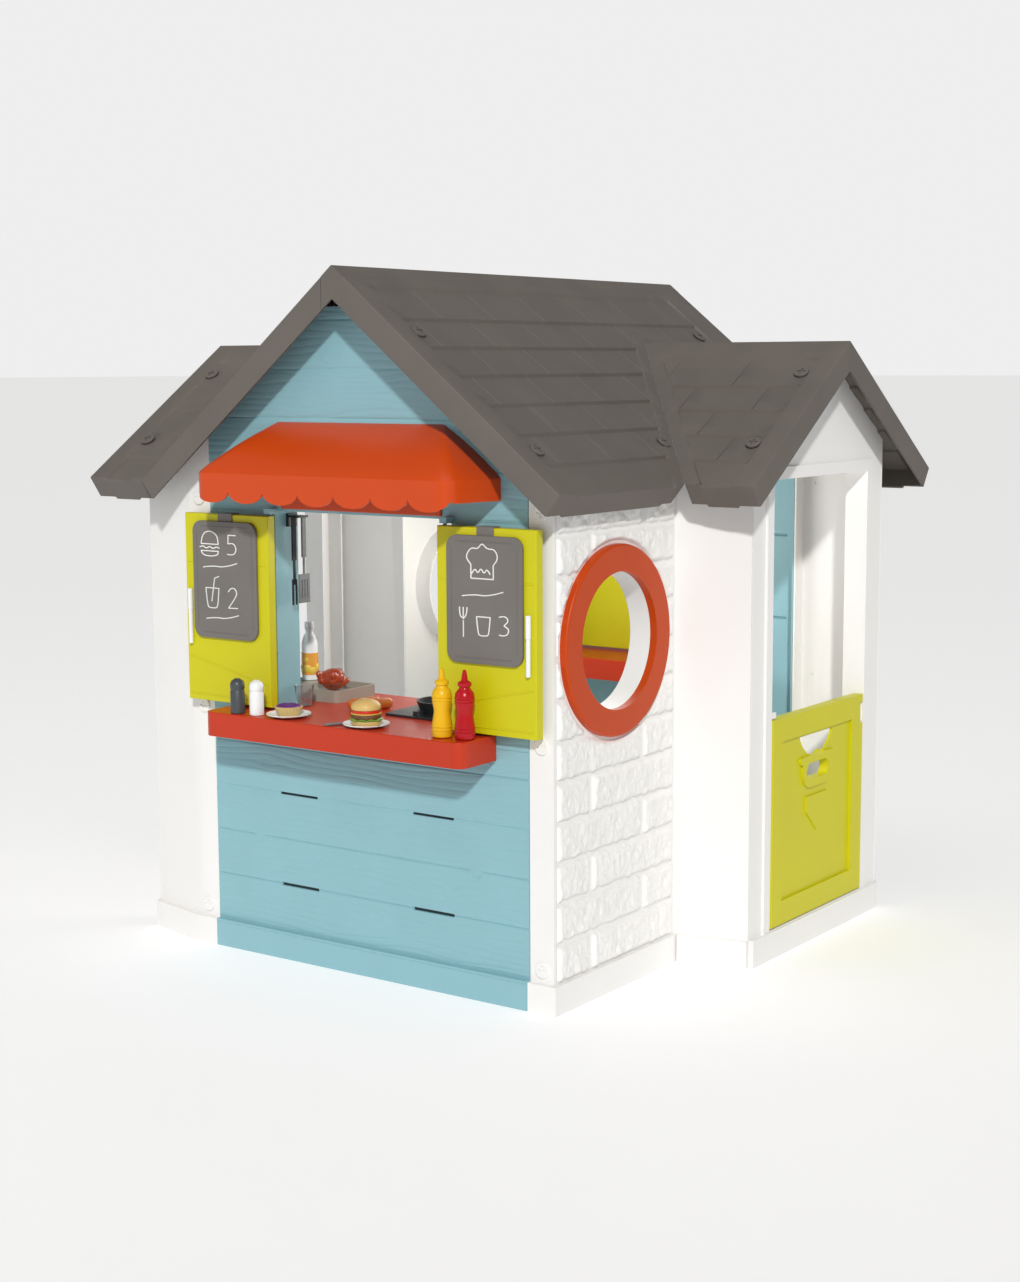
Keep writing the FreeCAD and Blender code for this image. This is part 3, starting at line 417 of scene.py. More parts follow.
lowSkin = plankSkin(-planks["half"], planks["half"], planks["foot"], 479)
sideSkins = [plankSkin(216, planks["half"], 481, 895, 4.5, 2.4),
             plankSkin(-planks["half"], -216, 481, 895, 4.5, 2.4)]
highSkin = plankSkin(-planks["half"], planks["half"], 897, 1346, 4.5, 2.2)
slope = math.atan2(1357 - 951.5, 504)
for side in (-1, 1):
    trimmed(highSkin, at(0, 0, 1357 - 11), Vector((side * math.sin(slope), 0, math.cos(slope))))
slotted(lowSkin, [planks["first"], planks["first"] + 2 * planks["pitch"]])
frontSkins = [edged(lowSkin, (0, 2.5, 0)), edged(joined(sideSkins + [highSkin]), (0, 2.5, 0))]
for piece, name in zip(frontSkins, ("LowerPlanks", "UpperPlanks")):
    shade(piece, angle=60, even=False)
    hand(turned(piece), "back" + name, "house", bluePlank, "blue_plastic")
    hand(piece, "front" + name, "house", bluePlank, "blue_plastic")
for node in ("front_wall", "back_wall"):
    hand(fromNode(node, 0.8), node.replace("_w", "W"), "house", bluePlank, "blue_plastic", node)
# dark plates just behind the vent slots: painted shade for the dark inside seen through the slots
ventPaintedShade = plastic("ventPaintedShade", (0.012, 0.028, 0.034), rough=0.6)
paintedShadePlates = [block(x - 50, x + 50, -523, -520.5, z - 5, z + 5, 0.5) for x in (-166, 166) for z in (151, 336)]
paintedShadePlate = joined(paintedShadePlates)
hand(turned(paintedShadePlate), "backVentPaintedShade", "house", ventPaintedShade, "blue_plastic")
hand(paintedShadePlate, "frontVentPaintedShade", "house", ventPaintedShade, "blue_plastic")
moulding = block(-386, 386, -539.5, -526, 51, 56.5, 1.6, 3)
hand(turned(moulding), "backSkirtMoulding", "house", bluePlank, "blue_plastic")
hand(moulding, "frontSkirtMoulding", "house", bluePlank, "blue_plastic")
print("plank walls made")


# stone-look side walls

stones = {"face": 440, "bottom": 61, "pitch": 74.5, "height": 62, "gap": 17, "first": -516, "last": -122,
          "short": 97, "long": 276, "proud": 6.5, "ringY": -328, "ringZ": 667, "clear": 189, "round": 7}


def stoneAt(y, z):
    # how far inside a stone's outline a point lies, and which stone it is
    row = math.floor((z - stones["bottom"] + 6) / stones["pitch"])
    low = stones["bottom"] + row * stones["pitch"]
    if row < 0 or row > 11:
        return -5, 0
    edge = stones["first"] + (stones["short"] if row % 2 == 0 else stones["long"])
    spans = ((stones["first"], edge), (edge + stones["gap"], stones["last"]))
    best, which = -5, 0
    for number, (y0, y1) in enumerate(spans):
        ragged = 2.6 * noise.noise(Vector((y / 17, row * 3.1,
                                           number))) + 1.2 * noise.noise(Vector((y / 6, row, 9)))
        inside = min(y - y0, y1 - y, z - low - ragged * 1.4, low + stones["height"] + ragged * 0.5 - z)
        if inside > best:
            best, which = inside, row * 2 + number
    return best, which


def stoneRelief(y, z):
    inside, which = stoneAt(y, z)
    far = math.hypot(y - stones["ringY"], z - stones["ringZ"])
    inside = min(inside, far - stones["clear"], 935 - z)
    if inside <= -4:
        return 0.4
    shoulder = max(0, min(1, (inside + 1) / stones["round"]))
    rise = stones["proud"] * math.sqrt(max(0, 1 - (1 - shoulder) ** 2))
    chips = (2.6 * noise.fractal(Vector((y / 26, z / 20, which * 5.7)), 0.9, 2.1, 5)
             + 2.4 * abs(noise.noise(Vector((y / 9, z / 30, which * 2.3))))
             + 0.9 * noise.noise(Vector((y / 4, z / 5, which))))
    return 0.4 + rise + chips * shoulder


def stoneSpot(y, z):
    far = math.hypot(y - stones["ringY"], z - stones["ringZ"])
    return at(stones["face"] + stoneRelief(y, z), y, z)


stoneSkin = sheet(spread(-519, -119, 2.4), spread(57, 942, 2.4), stoneSpot)
choose(stoneSkin, "FACE",
       lambda face: math.hypot(face.calc_center_median().y * 1000 - middle * 1000 - stones["ringY"],
                                                 face.calc_center_median().z * 1000 - stones["ringZ"]) < 176)
bpy.ops.mesh.delete(type="FACE")
bpy.ops.object.mode_set(mode="OBJECT")
shade(stoneSkin, angle=70, even=False)
hand(turned(stoneSkin), "leftStones", "house", whiteStone, "white_plastic")
hand(stoneSkin, "rightStones", "house", whiteStone, "white_plastic")
print("stone walls made")


# plain white walls, rings and small fixed parts straight from their frame shapes

whiteNodes = [side + "_" + part for side in ("left", "right")
              for part in ("brick_panel", "bay_front_panel", "bay_back_panel")]


def camel(node):
    words = node.split("_")
    return words[0] + "".join(word.capitalize() for word in words[1:])


for side in ("left", "right"):
    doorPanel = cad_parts[side + "_bay_door_panel"]
    doorPanel.data.materials.clear()
    doorPanel.data.materials.append(whiteWall)
for node in whiteNodes + ["wall_screws", "door_latch_clip"]:
    hand(fromNode(node, 1.6 if "panel" in node else 0.6), camel(node), "house", whiteWall, "white_plastic",
         node)
for node in ("left_window_ring", "right_window_ring"):
    hand(fromNode(node, 4, 4), camel(node), "house", orangeRing, "orange_plastic", node)
shelves = {"half": 315, "front": -637, "wall": -528.5, "neck": 214, "jamb": -460.5, "corner": 22,
           "top": 506, "deep": 49, "skin": 5}


def rounded(corners, radius):
    # outline with its marked corners rounded; each corner is (x, y, round or not)
    points = []
    count = len(corners)
    for i, (x, y, soft) in enumerate(corners):
        here = Vector((x, y))
        if not soft:
            points.append((x, y))
            continue
        before = (Vector(corners[i - 1][:2]) - here).normalized()
        after = (Vector(corners[(i + 1) % count][:2]) - here).normalized()
        centre = here + (before + after) * radius
        for k in range(9):
            turn = k / 8 * math.pi / 2
            point = centre - after * radius * math.cos(turn) - before * radius * math.sin(turn)
            points.append((point.x, point.y))
    return points


def shelfForm(inner, innerHalf):
    s = shelves
    corners = [(-s["half"], s["front"], 1), (s["half"], s["front"], 1), (s["half"], s["wall"], 0),
               (s["neck"], s["wall"], 0),
               (s["neck"], s["jamb"], 0), (innerHalf, s["jamb"], 0), (innerHalf, inner, 1),
               (-innerHalf, inner, 1),
               (-innerHalf, s["jamb"], 0), (-s["neck"], s["jamb"], 0), (-s["neck"], s["wall"], 0),
               (-s["half"], s["wall"], 0)]
    piece = outline([(x, y, s["top"]) for x, y in rounded(corners, s["corner"])], (0, 0, -s["deep"]))
    choose(piece, "FACE", lambda face: face.normal.z < -0.9)
    bpy.ops.mesh.inset(thickness=s["skin"] / 1000)
    bpy.ops.transform.translate(value=(0, 0, (s["deep"] - 6) / 1000))
    bpy.ops.object.mode_set(mode="OBJECT")
    return soften(piece, 2.2, 4)


hand(shelfForm(-277.5, 350), "frontCounter", "house", redGloss, "red_plastic", "front_counter")
backShelf = shelfForm(-387.5, 350)
hand(turned(backShelf), "backCounter", "house", redGloss, "red_plastic", "back_counter")
bpy.data.objects.remove(backShelf)
for node, finish, slot in (("roof_screws", roofGrain, "roof_plastic"),
                           ("shutter_hinge_pins", greyTool, "grey_plastic"),
                           ("door_hinge_pins", greyTool, "grey_plastic"),
                           ("sink_basin", beigeTray, "beige_plastic"),
                           ("hob_plate", blackTool, "black_plastic"),
                           ("utensil_rail", blackTool, "black_plastic"),
                           ("spatula", greyTool, "black_plastic"),
                           ("serving_fork", blackTool, "black_plastic")):
    hand(fromNode(node, 0.8, 3), camel(node), "house", finish, slot, node)
print("plain parts finished")


# roofs

roof = {"skin": 5, "deep": 48, "sink": 5.2, "joint": 3.4, "jointDepth": 2.0, "riser": 4.6}
mainRoof = {"angle": slope, "ridge": 1357, "start": 32.8, "end": 646.8, "v0": -601.5, "v1": 601.5,
            "steps": (153, 236, 318, 402, 484, 566), "top": (57, 67), "field": (-550, 512),
            "odd": -424, "even": -508, "pitch": 170,
            "valley": ((220, 210), (646.8, -181.5), (646.8, 601.5)), "rim": 24}
bayRoof = {"angle": math.atan2(1219 - 951.5, 391.5), "ridge": 1219, "start": 0.6, "end": 474, "v0": 171.5,
           "v1": 651,
           "steps": (151, 233, 317, 396), "top": (57, 66), "field": (0, 606),
           "odd": 290, "even": 371, "pitch": 163, "valley": ((0, 171.5), (474, 504)), "rim": 26}


def roofGap(kind, s, v):
    # distance from the valley, positive on the roof's own side
    s0, v0 = kind["valley"][0]
    gaps = []
    for s1, v1 in kind["valley"][1:]:
        side = 1 if v1 > v0 else -1
        gaps.append((-abs(v1 - v0) * (s - s0) + (s1 - s0) * side * (v - v0)) / math.hypot(s1 - s0, v1 - v0))
    return max(gaps)


def roofHeight(kind, s, v):
    # rims at full height, courses that rise to their lower edge inside them
    low, high = kind["field"]
    topStart, topEnd = kind["top"]
    gap = roofGap(kind, s, v)
    sunk = min((s - topStart) / (topEnd - topStart), (v - low) / 3, (high - v) / 3, (gap - kind["rim"]) / 3)
    sunk = max(0, min(1, sunk))
    steps = kind["steps"]
    before = max([topEnd] + [step + roof["riser"] for step in steps if step <= s + 0.01])
    after = min([step for step in steps if step > s + 0.01] + [9999])
    lift = 0
    if s < before and before > topEnd:
        lift = (before - s) / roof["riser"] * (roof["sink"] - 0.4)
    elif after < 9999 and s > topEnd:
        lift = (s - before) / (after - before) * (roof["sink"] - 0.4)
        course = steps.index(after)
        first = kind["odd"] if course % 2 == 0 else kind["even"]
        along = (v - first) % kind["pitch"]
        if 0.1 < along < 1 and s < after - 0.2:
            lift -= roof["jointDepth"]
    return -sunk * (roof["sink"] - lift)


def roofSheet(kind):
    low, high = kind["field"]
    joints = []
    for first in (kind["odd"], kind["even"]):
        mark = first
        while mark < kind["v1"]:
            if low < mark < high:
                joints += [mark, mark + 0.5, mark + roof["joint"]]
            mark += kind["pitch"]
    edges = [low, low + 3, high - 3, high]
    edges = [c for c in edges if kind["v0"] < c < kind["v1"]]
    columns = sorted(set(joints + edges + spread(kind["v0"], kind["v1"], 40)))
    columns = [c for i, c in enumerate(columns) if i == 0 or c in joints or c - columns[i - 1] > 0.35]
    rows = [kind["start"]] + spread(kind["top"][0], kind["top"][1], 6)
    for step in kind["steps"]:
        rows += [step - 41, step - 20, step - 0.3, step, step + roof["riser"]]
    rows += [kind["steps"][-1] + 30, kind["end"]]
    return sheet(columns, sorted(rows), lambda v, s: Vector((v / 1000, -s / 1000, 0)))


def cutAlong(piece, s0, v0, s1, v1, offset=0):
    # lays an edge across the sheet along a line
    along = Vector((v1 - v0, -(s1 - s0), 0)).normalized()
    across = Vector((-along.y, along.x, 0))
    pick(piece)
    bpy.ops.object.mode_set(mode="EDIT")
    bpy.ops.mesh.select_all(action="SELECT")
    bpy.ops.mesh.bisect(plane_co=Vector((v0, -s0, 0)) / 1000 + across * offset / 1000, plane_no=across)
    bpy.ops.object.mode_set(mode="OBJECT")


def roofShell(kind):
    piece = roofSheet(kind)
    s0, v0 = kind["valley"][0]
    for s1, v1 in kind["valley"][1:]:
        for offset in (-kind["rim"] - 3, -kind["rim"], 0, kind["rim"], kind["rim"] + 3):
            cutAlong(piece, s0, v0, s1, v1, offset)
    choose(piece, "FACE", lambda face: roofGap(kind, -face.calc_center_median().y * 1000,
                                               face.calc_center_median().x * 1000) < 0)
    bpy.ops.mesh.delete(type="FACE")
    bpy.ops.object.mode_set(mode="OBJECT")
    for vertex in piece.data.vertices:
        vertex.co.z = roofHeight(kind, -vertex.co.y * 1000, vertex.co.x * 1000) / 1000

    def rim(edge):
        if len(edge.link_faces) != 1:
            return False
        a, b = (v.co * 1000 for v in edge.verts)
        return any(abs(a[i] - level) < 0.2 and abs(b[i] - level) < 0.2
                   for i, level in ((1, -kind["end"]), (0, kind["v0"] if kind is mainRoof else -9999),
                                    (0, kind["v1"])))

    choose(piece, "EDGE", rim)
    bpy.ops.mesh.extrude_edges_move(TRANSFORM_OT_translate={"value": (0, 0, -roof["deep"] / 1000)})
    choose(piece, "EDGE", lambda edge: edgeOf(kind, edge))
    bpy.ops.mesh.bevel(offset=0.0028, segments=3, affect="EDGES", clamp_overlap=False)
    bpy.ops.object.mode_set(mode="OBJECT")
    outward(piece)
    if sum(face.area * face.normal.z for face in piece.data.polygons) < 0:
        bpy.ops.object.mode_set(mode="EDIT")
        bpy.ops.mesh.flip_normals()
        bpy.ops.object.mode_set(mode="OBJECT")
    wall = piece.modifiers.new("wall", "SOLIDIFY")
    wall.thickness = roof["skin"] / 1000
    wall.offset = -1
    applyAll(piece)
    return piece


def edgeOf(kind, edge):
    # the corner between a top face and a bargeboard, and the upright corners
    if len(edge.link_faces) != 2:
        return False
    return edge.calc_face_angle(0) > math.radians(60) and min(
        min(abs(v.co.y * 1000 + kind["end"]), abs(v.co.x * 1000 - kind["v1"]),
            abs(v.co.x * 1000 - kind["v0"]))
        for v in edge.verts) < 0.2 and all(
        min(abs(v.co.y * 1000 + kind["end"]), abs(v.co.x * 1000 - kind["v1"]),
            abs(v.co.x * 1000 - kind["v0"])) < 0.2
        for v in edge.verts)


def ontoSlope(piece, kind, turnZ=0, y=0, mirror=False):
    # from the flat sheet to its place: v runs along the ridge, s down the slope
    tilt = Matrix.Rotation(kind["angle"], 4, "X")
    flip = Matrix.Scale(-1, 4, Vector((1, 0, 0))) if mirror else Matrix.Identity(4)
    lift = Matrix.Translation((0, 0, kind["ridge"] / 1000))
    return place(piece, Matrix.Translation(at(0, y,
                                              0)) @ Matrix.Rotation(turnZ, 4, "Z") @ lift @ tilt @ flip)


mainShell = roofShell(mainRoof)
ontoSlope(mainShell, mainRoof, turnZ=math.pi / 2)
frontShell = roofShell(bayRoof)
backShell = copied(frontShell)
ontoSlope(frontShell, bayRoof, y=210)
ontoSlope(backShell, bayRoof, turnZ=math.pi, y=210, mirror=True)
outward(backShell)
trimmed(mainShell, at(25.4, 0, 0), Vector((-1, 0, 0)), True)
trimmed(frontShell, at(0, 209.7, 0), Vector((0, 1, 0)), True)
trimmed(backShell, at(0, 210.3, 0), Vector((0, -1, 0)), True)
for piece, near, far in ((mainShell, "right_main_roof", "left_main_roof"),
                         (frontShell, "right_bay_roof_front", "left_bay_roof_front"),
                         (backShell, "right_bay_roof_back", "left_bay_roof_back")):
    shade(piece, angle=34, even=False)
    hand(turned(piece), camel(far), "house", roofGrain, "roof_plastic", far)
    hand(piece, camel(near), "house", roofGrain, "roof_plastic", near)
hand(fromNode("ridge_cap", 1.2), "ridgeCap", "house", roofGrain, "roof_plastic", "ridge_cap")
print("roofs made")


# awning

awning = {"top": 1068, "topHalf": 200, "crease": 975, "creaseHalf": 303, "wallHalf": 328, "front": -657,
          "wall": -527.5, "low": 917, "scallop": 23, "count": 7, "skin": 3.6, "hip": 26, "bow": 5}


def awningEdge(t):
    # a walk round the crease from one wall corner to the other, with rounded hips
    side = math.hypot(awning["wallHalf"] - awning["creaseHalf"], awning["wall"] - awning["front"])
    width = 2 * awning["creaseHalf"]
    corners = [Vector((-awning["wallHalf"], awning["wall"])),
               Vector((-awning["creaseHalf"], awning["front"])),
               Vector((awning["creaseHalf"], awning["front"])),
               Vector((awning["wallHalf"], awning["wall"]))]
    long = t * (2 * side + width)
    for a, b, length in zip(corners, corners[1:], (side, width, side)):
        if long <= length + 0.001:
            break
        long -= length
    point = a.lerp(b, long / length)
    for corner, before, after in ((corners[1], corners[0], corners[2]),
                                  (corners[2], corners[1], corners[3])):
        far = (point - corner).length
        if far < awning["hip"]:
            pull = (1 - far / awning["hip"]) ** 2 * awning["hip"] * 0.36
            inward = ((before - corner).normalized() + (after - corner).normalized()).normalized()
            point = point + inward * pull
    return point


def awningSpot(t, down):
    # down runs 0-1 over the hood and 1-2 down the valance
    edge = awningEdge(t)
    ridge = Vector((max(-1, min(1, edge.x / awning["creaseHalf"])) * awning["topHalf"], awning["wall"]))
    if abs(edge.y - awning["wall"]) < 0.5:
        ridge.x = math.copysign(awning["topHalf"], edge.x)
    if down <= 1:
        flat = ridge.lerp(edge, down)
        level = awning["top"] + (awning["crease"] - awning["top"]) * down
        level += awning["bow"] * math.sin(math.pi * down)
        turn = max(0, (down - 0.9) / 0.1)
        return at(flat.x, flat.y, level - 2.2 * turn ** 2)
    share = down - 1
    pitch = 2 * awning["creaseHalf"] / awning["count"]
    along = (edge.x + awning["creaseHalf"]) / pitch
    front = edge.y < awning["front"] + 14
    bump = 1 - abs(2 * (along - math.floor(along)) - 1) if front else 1
    cusp = awning["scallop"] * (1 - math.sqrt(max(0, 1 - (1 - bump) ** 2)))
    bottom = awning["low"] + min(awning["scallop"], cusp if front else 16)
    start = awning["crease"] - 2.2
    return at(edge.x, edge.y, start + (bottom - start) * share)


awningSide = math.hypot(awning["wallHalf"] - awning["creaseHalf"], awning["wall"] - awning["front"])
awningRun = 2 * awningSide + 2 * awning["creaseHalf"]
scallopRun = 2 * awning["creaseHalf"] / awning["count"]
walk = [i / 14 * awningSide / awningRun for i in range(14)]
for k in range(awning["count"]):
    walk += [(awningSide + scallopRun * (k + (1 - math.cos(i / 22 * math.pi)) / 2)) / awningRun
             for i in range(22)]
walk += [1 - (14 - i) / 14 * awningSide / awningRun for i in range(15)]
falls = [0, 0.1, 0.25, 0.4, 0.55, 0.7, 0.82, 0.9, 0.94, 0.97, 0.99, 1, 1.03, 1.1, 1.25, 1.4, 1.6, 1.8, 1.93,
         1.98, 2]
hood = outward(sheet(walk, falls, awningSpot))
if sum(face.area * (face.normal.z - face.normal.y) for face in hood.data.polygons) < 0:
    pick(hood)
    bpy.ops.object.mode_set(mode="EDIT")
    bpy.ops.mesh.flip_normals()
    bpy.ops.object.mode_set(mode="OBJECT")
wall = hood.modifiers.new("wall", "SOLIDIFY")
wall.thickness = awning["skin"] / 1000
wall.offset = -1
lip = hood.modifiers.new("lip", "BEVEL")
lip.width = 0.0012
lip.segments = 2
lip.angle_limit = math.radians(55)
applyAll(hood)
shade(hood, angle=38, even=False)
band = block(-195, 195, -534, -527, 900, 925, 2.2, 3)
hand(joined([hood, band]), "frontAwning", "house", awningGloss, "red_plastic", "front_awning")
print("awning made")


# shutters, chalkboards and markers

leafLines = {"proud": 1.1, "wide": 2.6, "levels": ((790, 790), (556, 600), (524, 524))}


def strip(x0, z0, x1, z1, y, wide, proud):
    # a fine raised line on a face that looks along -Y
    long = math.hypot(x1 - x0, z1 - z0)
    piece = block(-long / 2, long / 2, -proud, 0.6, -wide / 2, wide / 2, 0.4, 2)
    spin = Matrix.Rotation(-math.atan2(z1 - z0, x1 - x0), 4, "Y")
    centre = Matrix.Translation(at((x0 + x1) / 2, y,
                                   (z0 + z1) / 2)) @ spin @ Matrix.Translation((0, -middle, 0))
    return place(piece, centre)


def shutterForm(node, sign):
    low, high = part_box(node)
    form = fromNode(node, 2.0, 3)
    if "front" in node:
        y = low.y * 1000 - middle * 1000
        x0, x1 = (sign * v for v in (212, 420))
        wide, proud = leafLines["wide"], leafLines["proud"]
        lines = [strip(x0, foot, x1, head, y, wide, proud) for foot, head in leafLines["levels"]]
        form = joined([form] + lines)
    return form


for side, sign in (("right", 1), ("left", -1)):
    for wall in ("front", "back"):
        node = wall + "_" + side + "_shutter"
        hand(shutterForm(node, sign), camel(node), node, limeShell, "lime_plastic", node)
    body = "front_" + side + "_shutter"
    board = fromNode("chalkboard_" + side, 1.6, 3)
    low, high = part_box("chalkboard_" + side)
    x0, x1 = low.x * 1000 + 11, high.x * 1000 - 11
    z0, z1 = 651, 861
    face = low.y * 1000 - middle * 1000
    border = joined([strip(x0 + 12, z0, x1 - 12, z0, face, 1.6, 0.8),
                     strip(x0 + 12, z1, x1 - 12, z1, face, 1.6, 0.8),
                     strip(x0, z0 + 12, x0, z1 - 12, face, 1.6, 0.8),
                     strip(x1, z0 + 12, x1, z1 - 12, face, 1.6, 0.8)])
    hand(joined([board, border]), "chalkboard" + side.capitalize(), body, slateBoard, "slate_plastic",
         "chalkboard_" + side)
    hand(fromNode("marker_" + side, 1.2, 3), "marker" + side.capitalize(), body, whiteGloss,
         "marker_plastic", "marker_" + side)
hand(fromNode("half_door", 1.8, 3), "halfDoor", "half_door", limeShell, "lime_plastic", "half_door")
print("shutters and door made")


# chalk drawings: numbers, a burger, a cup, a hat, a fork and underlines

def chalkLine(points, x, z, size, y, name="chalkStroke"):
    # a hand-drawn stroke through the points
    deselect()
    curve = bpy.data.curves.new(name, "CURVE")
    curve.dimensions = "3D"
    curve.bevel_depth = 0.0013
    curve.bevel_resolution = 1
    line = curve.splines.new("NURBS")
    line.points.add(len(points) - 1)
    for spot, (px, pz) in zip(line.points, points):
        spot.co = at(x + px * size, y, z + pz * size).to_4d()
    line.order_u = 3
    line.use_endpoint_u = True
    stroke = bpy.data.objects.new(name, curve)
    bpy.context.scene.collection.objects.link(stroke)
    pick(stroke)
    bpy.ops.object.convert(target="MESH")
    return bpy.context.object


digits = {"2": ((0, 0.8), (0.15, 1.0), (0.45, 1.0), (0.6, 0.75), (0.4, 0.45), (0, 0), (0, 0), (0.65, 0.02)),
          "5": ((0.6, 1.0), (0.08, 1.0), (0.08, 1.0), (0.05, 0.58), (0.05, 0.58), (0.45, 0.62), (0.62, 0.3),
                (0.4, 0), (0, 0.06)),
          "3": ((0, 0.95), (0.35, 1.05), (0.6, 0.8), (0.3, 0.54), (0.3, 0.54), (0.65, 0.35), (0.4, -0.02),
                (0, 0.06)),
          "cup": ((0, 0.9), (0.08, 0.1), (0.2, 0), (0.6, 0), (0.72, 0.1), (0.8, 0.9), (0.8, 0.9), (0, 0.9)),
          "straw": ((0.35, 0.3), (0.55, 1.35), (0.55, 1.35), (0.85, 1.45)),
          "bun": ((0, 0.45), (0.05, 0.85), (0.5, 1.05), (0.95, 0.85), (1.0, 0.45), (1.0, 0.45), (0, 0.45)),
          "filling": ((-0.08, 0.3), (0.1, 0.38), (0.3, 0.24), (0.5, 0.36), (0.7, 0.24), (0.9, 0.36),
                      (1.08, 0.28)),
          "base": ((0, 0.15), (0.04, -0.02), (0.5, -0.08), (0.96, -0.02), (1.0, 0.15), (1.0, 0.15),
                   (0, 0.15)),
          "line": ((0, 0), (0.3, 0.05), (0.7, 0.02), (1.1, 0.14)),
          "wave": ((0, 0), (0.12, 0.22), (0.25, 0), (0.37, 0.22), (0.5, 0), (0.62, 0.22), (0.75, 0)),
          "hat": ((0.1, 0), (0.1, 0.4), (0.1, 0.4), (-0.1, 0.62), (0.1, 0.9), (0.35, 0.85), (0.5, 1.05),
                  (0.68, 0.86),
                  (0.95, 0.88), (1.08, 0.62), (0.9, 0.4), (0.9, 0.4), (0.9, 0), (0.9, 0), (0.1, 0)),
          "fork": ((0.2, -0.3), (0.2, 0.5), (0.2, 0.5), (0, 0.6), (0, 1.0)),
          "tine": ((0.2, 0.4), (0.2, 1.0)),
          "prong": ((0.2, 0.5), (0.4, 0.6), (0.4, 1.0))}
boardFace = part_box("chalkboard_left")[0].y * 1000 - middle * 1000 - 0.1
leftDrawing = [("bun", -376, 806, 46), ("filling", -376, 806, 46), ("base", -376, 806, 46),
               ("5", -306, 806, 40),
               ("line", -372, 780, 84), ("cup", -366, 700, 44), ("straw", -366, 700, 44),
               ("2", -306, 702, 40),
               ("line", -366, 678, 80)]
rightDrawing = [("hat", 282, 795, 62), ("wave", 290, 803, 55), ("line", 268, 762, 84),
                ("fork", 262, 700, 42),
                ("tine", 262, 700, 42), ("prong", 262, 700, 42), ("cup", 300, 692, 38), ("3", 350, 694, 36)]
for side, drawing in (("left", leftDrawing), ("right", rightDrawing)):
    strokes = joined([chalkLine(digits[shape], x, z, size, boardFace) for shape, x, z, size in drawing])
    hand(strokes, "chalkDrawing" + side.capitalize(), "front_" + side + "_shutter", chalk, "slate_plastic")
print("chalk drawings made")


# toys on the outer shelf

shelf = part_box("front_counter")[1].z * 1000
toys = {"pepper": (-240, -618), "salt": (-194, -614), "tart": (-128, -596), "burger": (64, -596),
        "mustard": (245, -600), "ketchup": (292, -594), "knife": (18, -612)}


def shaker(name, x, y, finish, slot):
    body = lathe(x, y, [(12.5, shelf), (14, shelf + 1.5), (14, shelf + 44), (13, shelf + 46),
                        (13, shelf + 47.5),
                        (14.2, shelf + 49), (14, shelf + 58), (11.5, shelf + 64), (6, shelf + 67.5),
                        (1.5, shelf + 68.2)])
    holes = [lathe(x + 4.5 * math.cos(a), y + 4.5 * math.sin(a),
                   [(1.1, shelf + 66.6), (1.1, shelf + 68.4), (0.6, shelf + 68.8)], 8)
             for a in (0, 1.26, 2.51, 3.77, 5.03)]
    return hand(shade(joined([body] + holes), 40, False), name, "house", finish, slot)


def plate(name, x, y, radius=43):
    ring = [(radius * 0.55, shelf), (radius * 0.6, shelf + 1), (radius * 0.93, shelf + 5.4),
            (radius, shelf + 6.6),
            (radius, shelf + 8), (radius * 0.95, shelf + 7.4), (radius * 0.66, shelf + 3.6),
            (radius * 0.6, shelf + 3),
            (radius * 0.1, shelf + 2.8)]
    return hand(shade(lathe(x, y, ring, 48), 40, False), name, "house", whiteGloss, "marker_plastic")


def squeezeBottle(name, x, y, finish, slot):
    rings = [(15, 0), (18.5, 2), (19, 10), (18.6, 24), (15.2, 44), (15, 50), (17.6, 64), (18.2, 76),
             (17, 84), (12.5, 90),
             (10, 93), (10, 96), (12.6, 97), (12.6, 103), (10, 105), (6.4, 107), (4.6, 118), (3.2, 125),
             (1.6, 126)]
    body = lathe(x, y, [(r, shelf + h) for r, h in rings], 32)
    ridges = [lathe(x, y, [(r, shelf + h - 1.2), (r + 1.0, shelf + h - 0.4), (r + 1.0, shelf + h + 0.4),
                           (r, shelf + h + 1.2)], 32)
              for r, h in ((18.9, 14), (18.7, 20), (17.6, 68), (18.1, 74))]
    return hand(shade(joined([body] + ridges), 40, False), name, "house", finish, slot)


shaker("pepperShaker", *toys["pepper"], pepperGrey, "black_plastic")
shaker("saltShaker", *toys["salt"], whiteGloss, "marker_plastic")
plate("tartPlate", *toys["tart"])
plate("burgerPlate", *toys["burger"], 44)
squeezeBottle("mustardBottle", *toys["mustard"], mustardYellow, "card_print")
squeezeBottle("ketchupBottle", *toys["ketchup"], ketchupRed, "roast_plastic")


def rippled(piece, x, y, low, high, depth, count):
    # flutes the side of a round piece
    for vertex in piece.data.vertices:
        dx, dy = vertex.co.x * 1000 - x, (vertex.co.y - middle) * 1000 - y
        if low < vertex.co.z * 1000 < high:
            share = 1 + depth * math.cos(count * math.atan2(dy, dx))
            vertex.co.x = (x + dx * share) / 1000
            vertex.co.y = (y + dy * share) / 1000 + middle
    return piece


def roughened(piece, amount, size, seed=0):
    # uneven surface, as moulded food has
    mesh = piece.data
    pushes = [vertex.normal * noise.noise(vertex.co * 1000 / size + Vector((seed, 0, 0))) * amount / 1000
              for vertex in mesh.vertices]
    for vertex, push in zip(mesh.vertices, pushes):
        vertex.co += push
    return piece


x, y = toys["tart"]
crust = rippled(lathe(x, y, [(20, shelf + 3.4), (21, shelf + 5), (26, shelf + 19), (27, shelf + 21),
                             (25.5, shelf + 22),
                             (23.5, shelf + 20.5), (23, shelf + 19)], 96), x, y, shelf + 4, shelf + 21.5,
                0.028, 24)
hand(shade(crust, 50, False), "tartCrust", "house", crustTan, "card_print")
berry = lathe(x, y, [(23.6, shelf + 17), (23.6, shelf + 21.4), (22, shelf + 23.4), (16, shelf + 25),
                     (9, shelf + 25.6), (2, shelf + 25.8)], 96)
hand(shade(roughened(berry, 1.6, 3.2), 60, False), "tartBerries", "house", berryPurple, "marker_plastic")

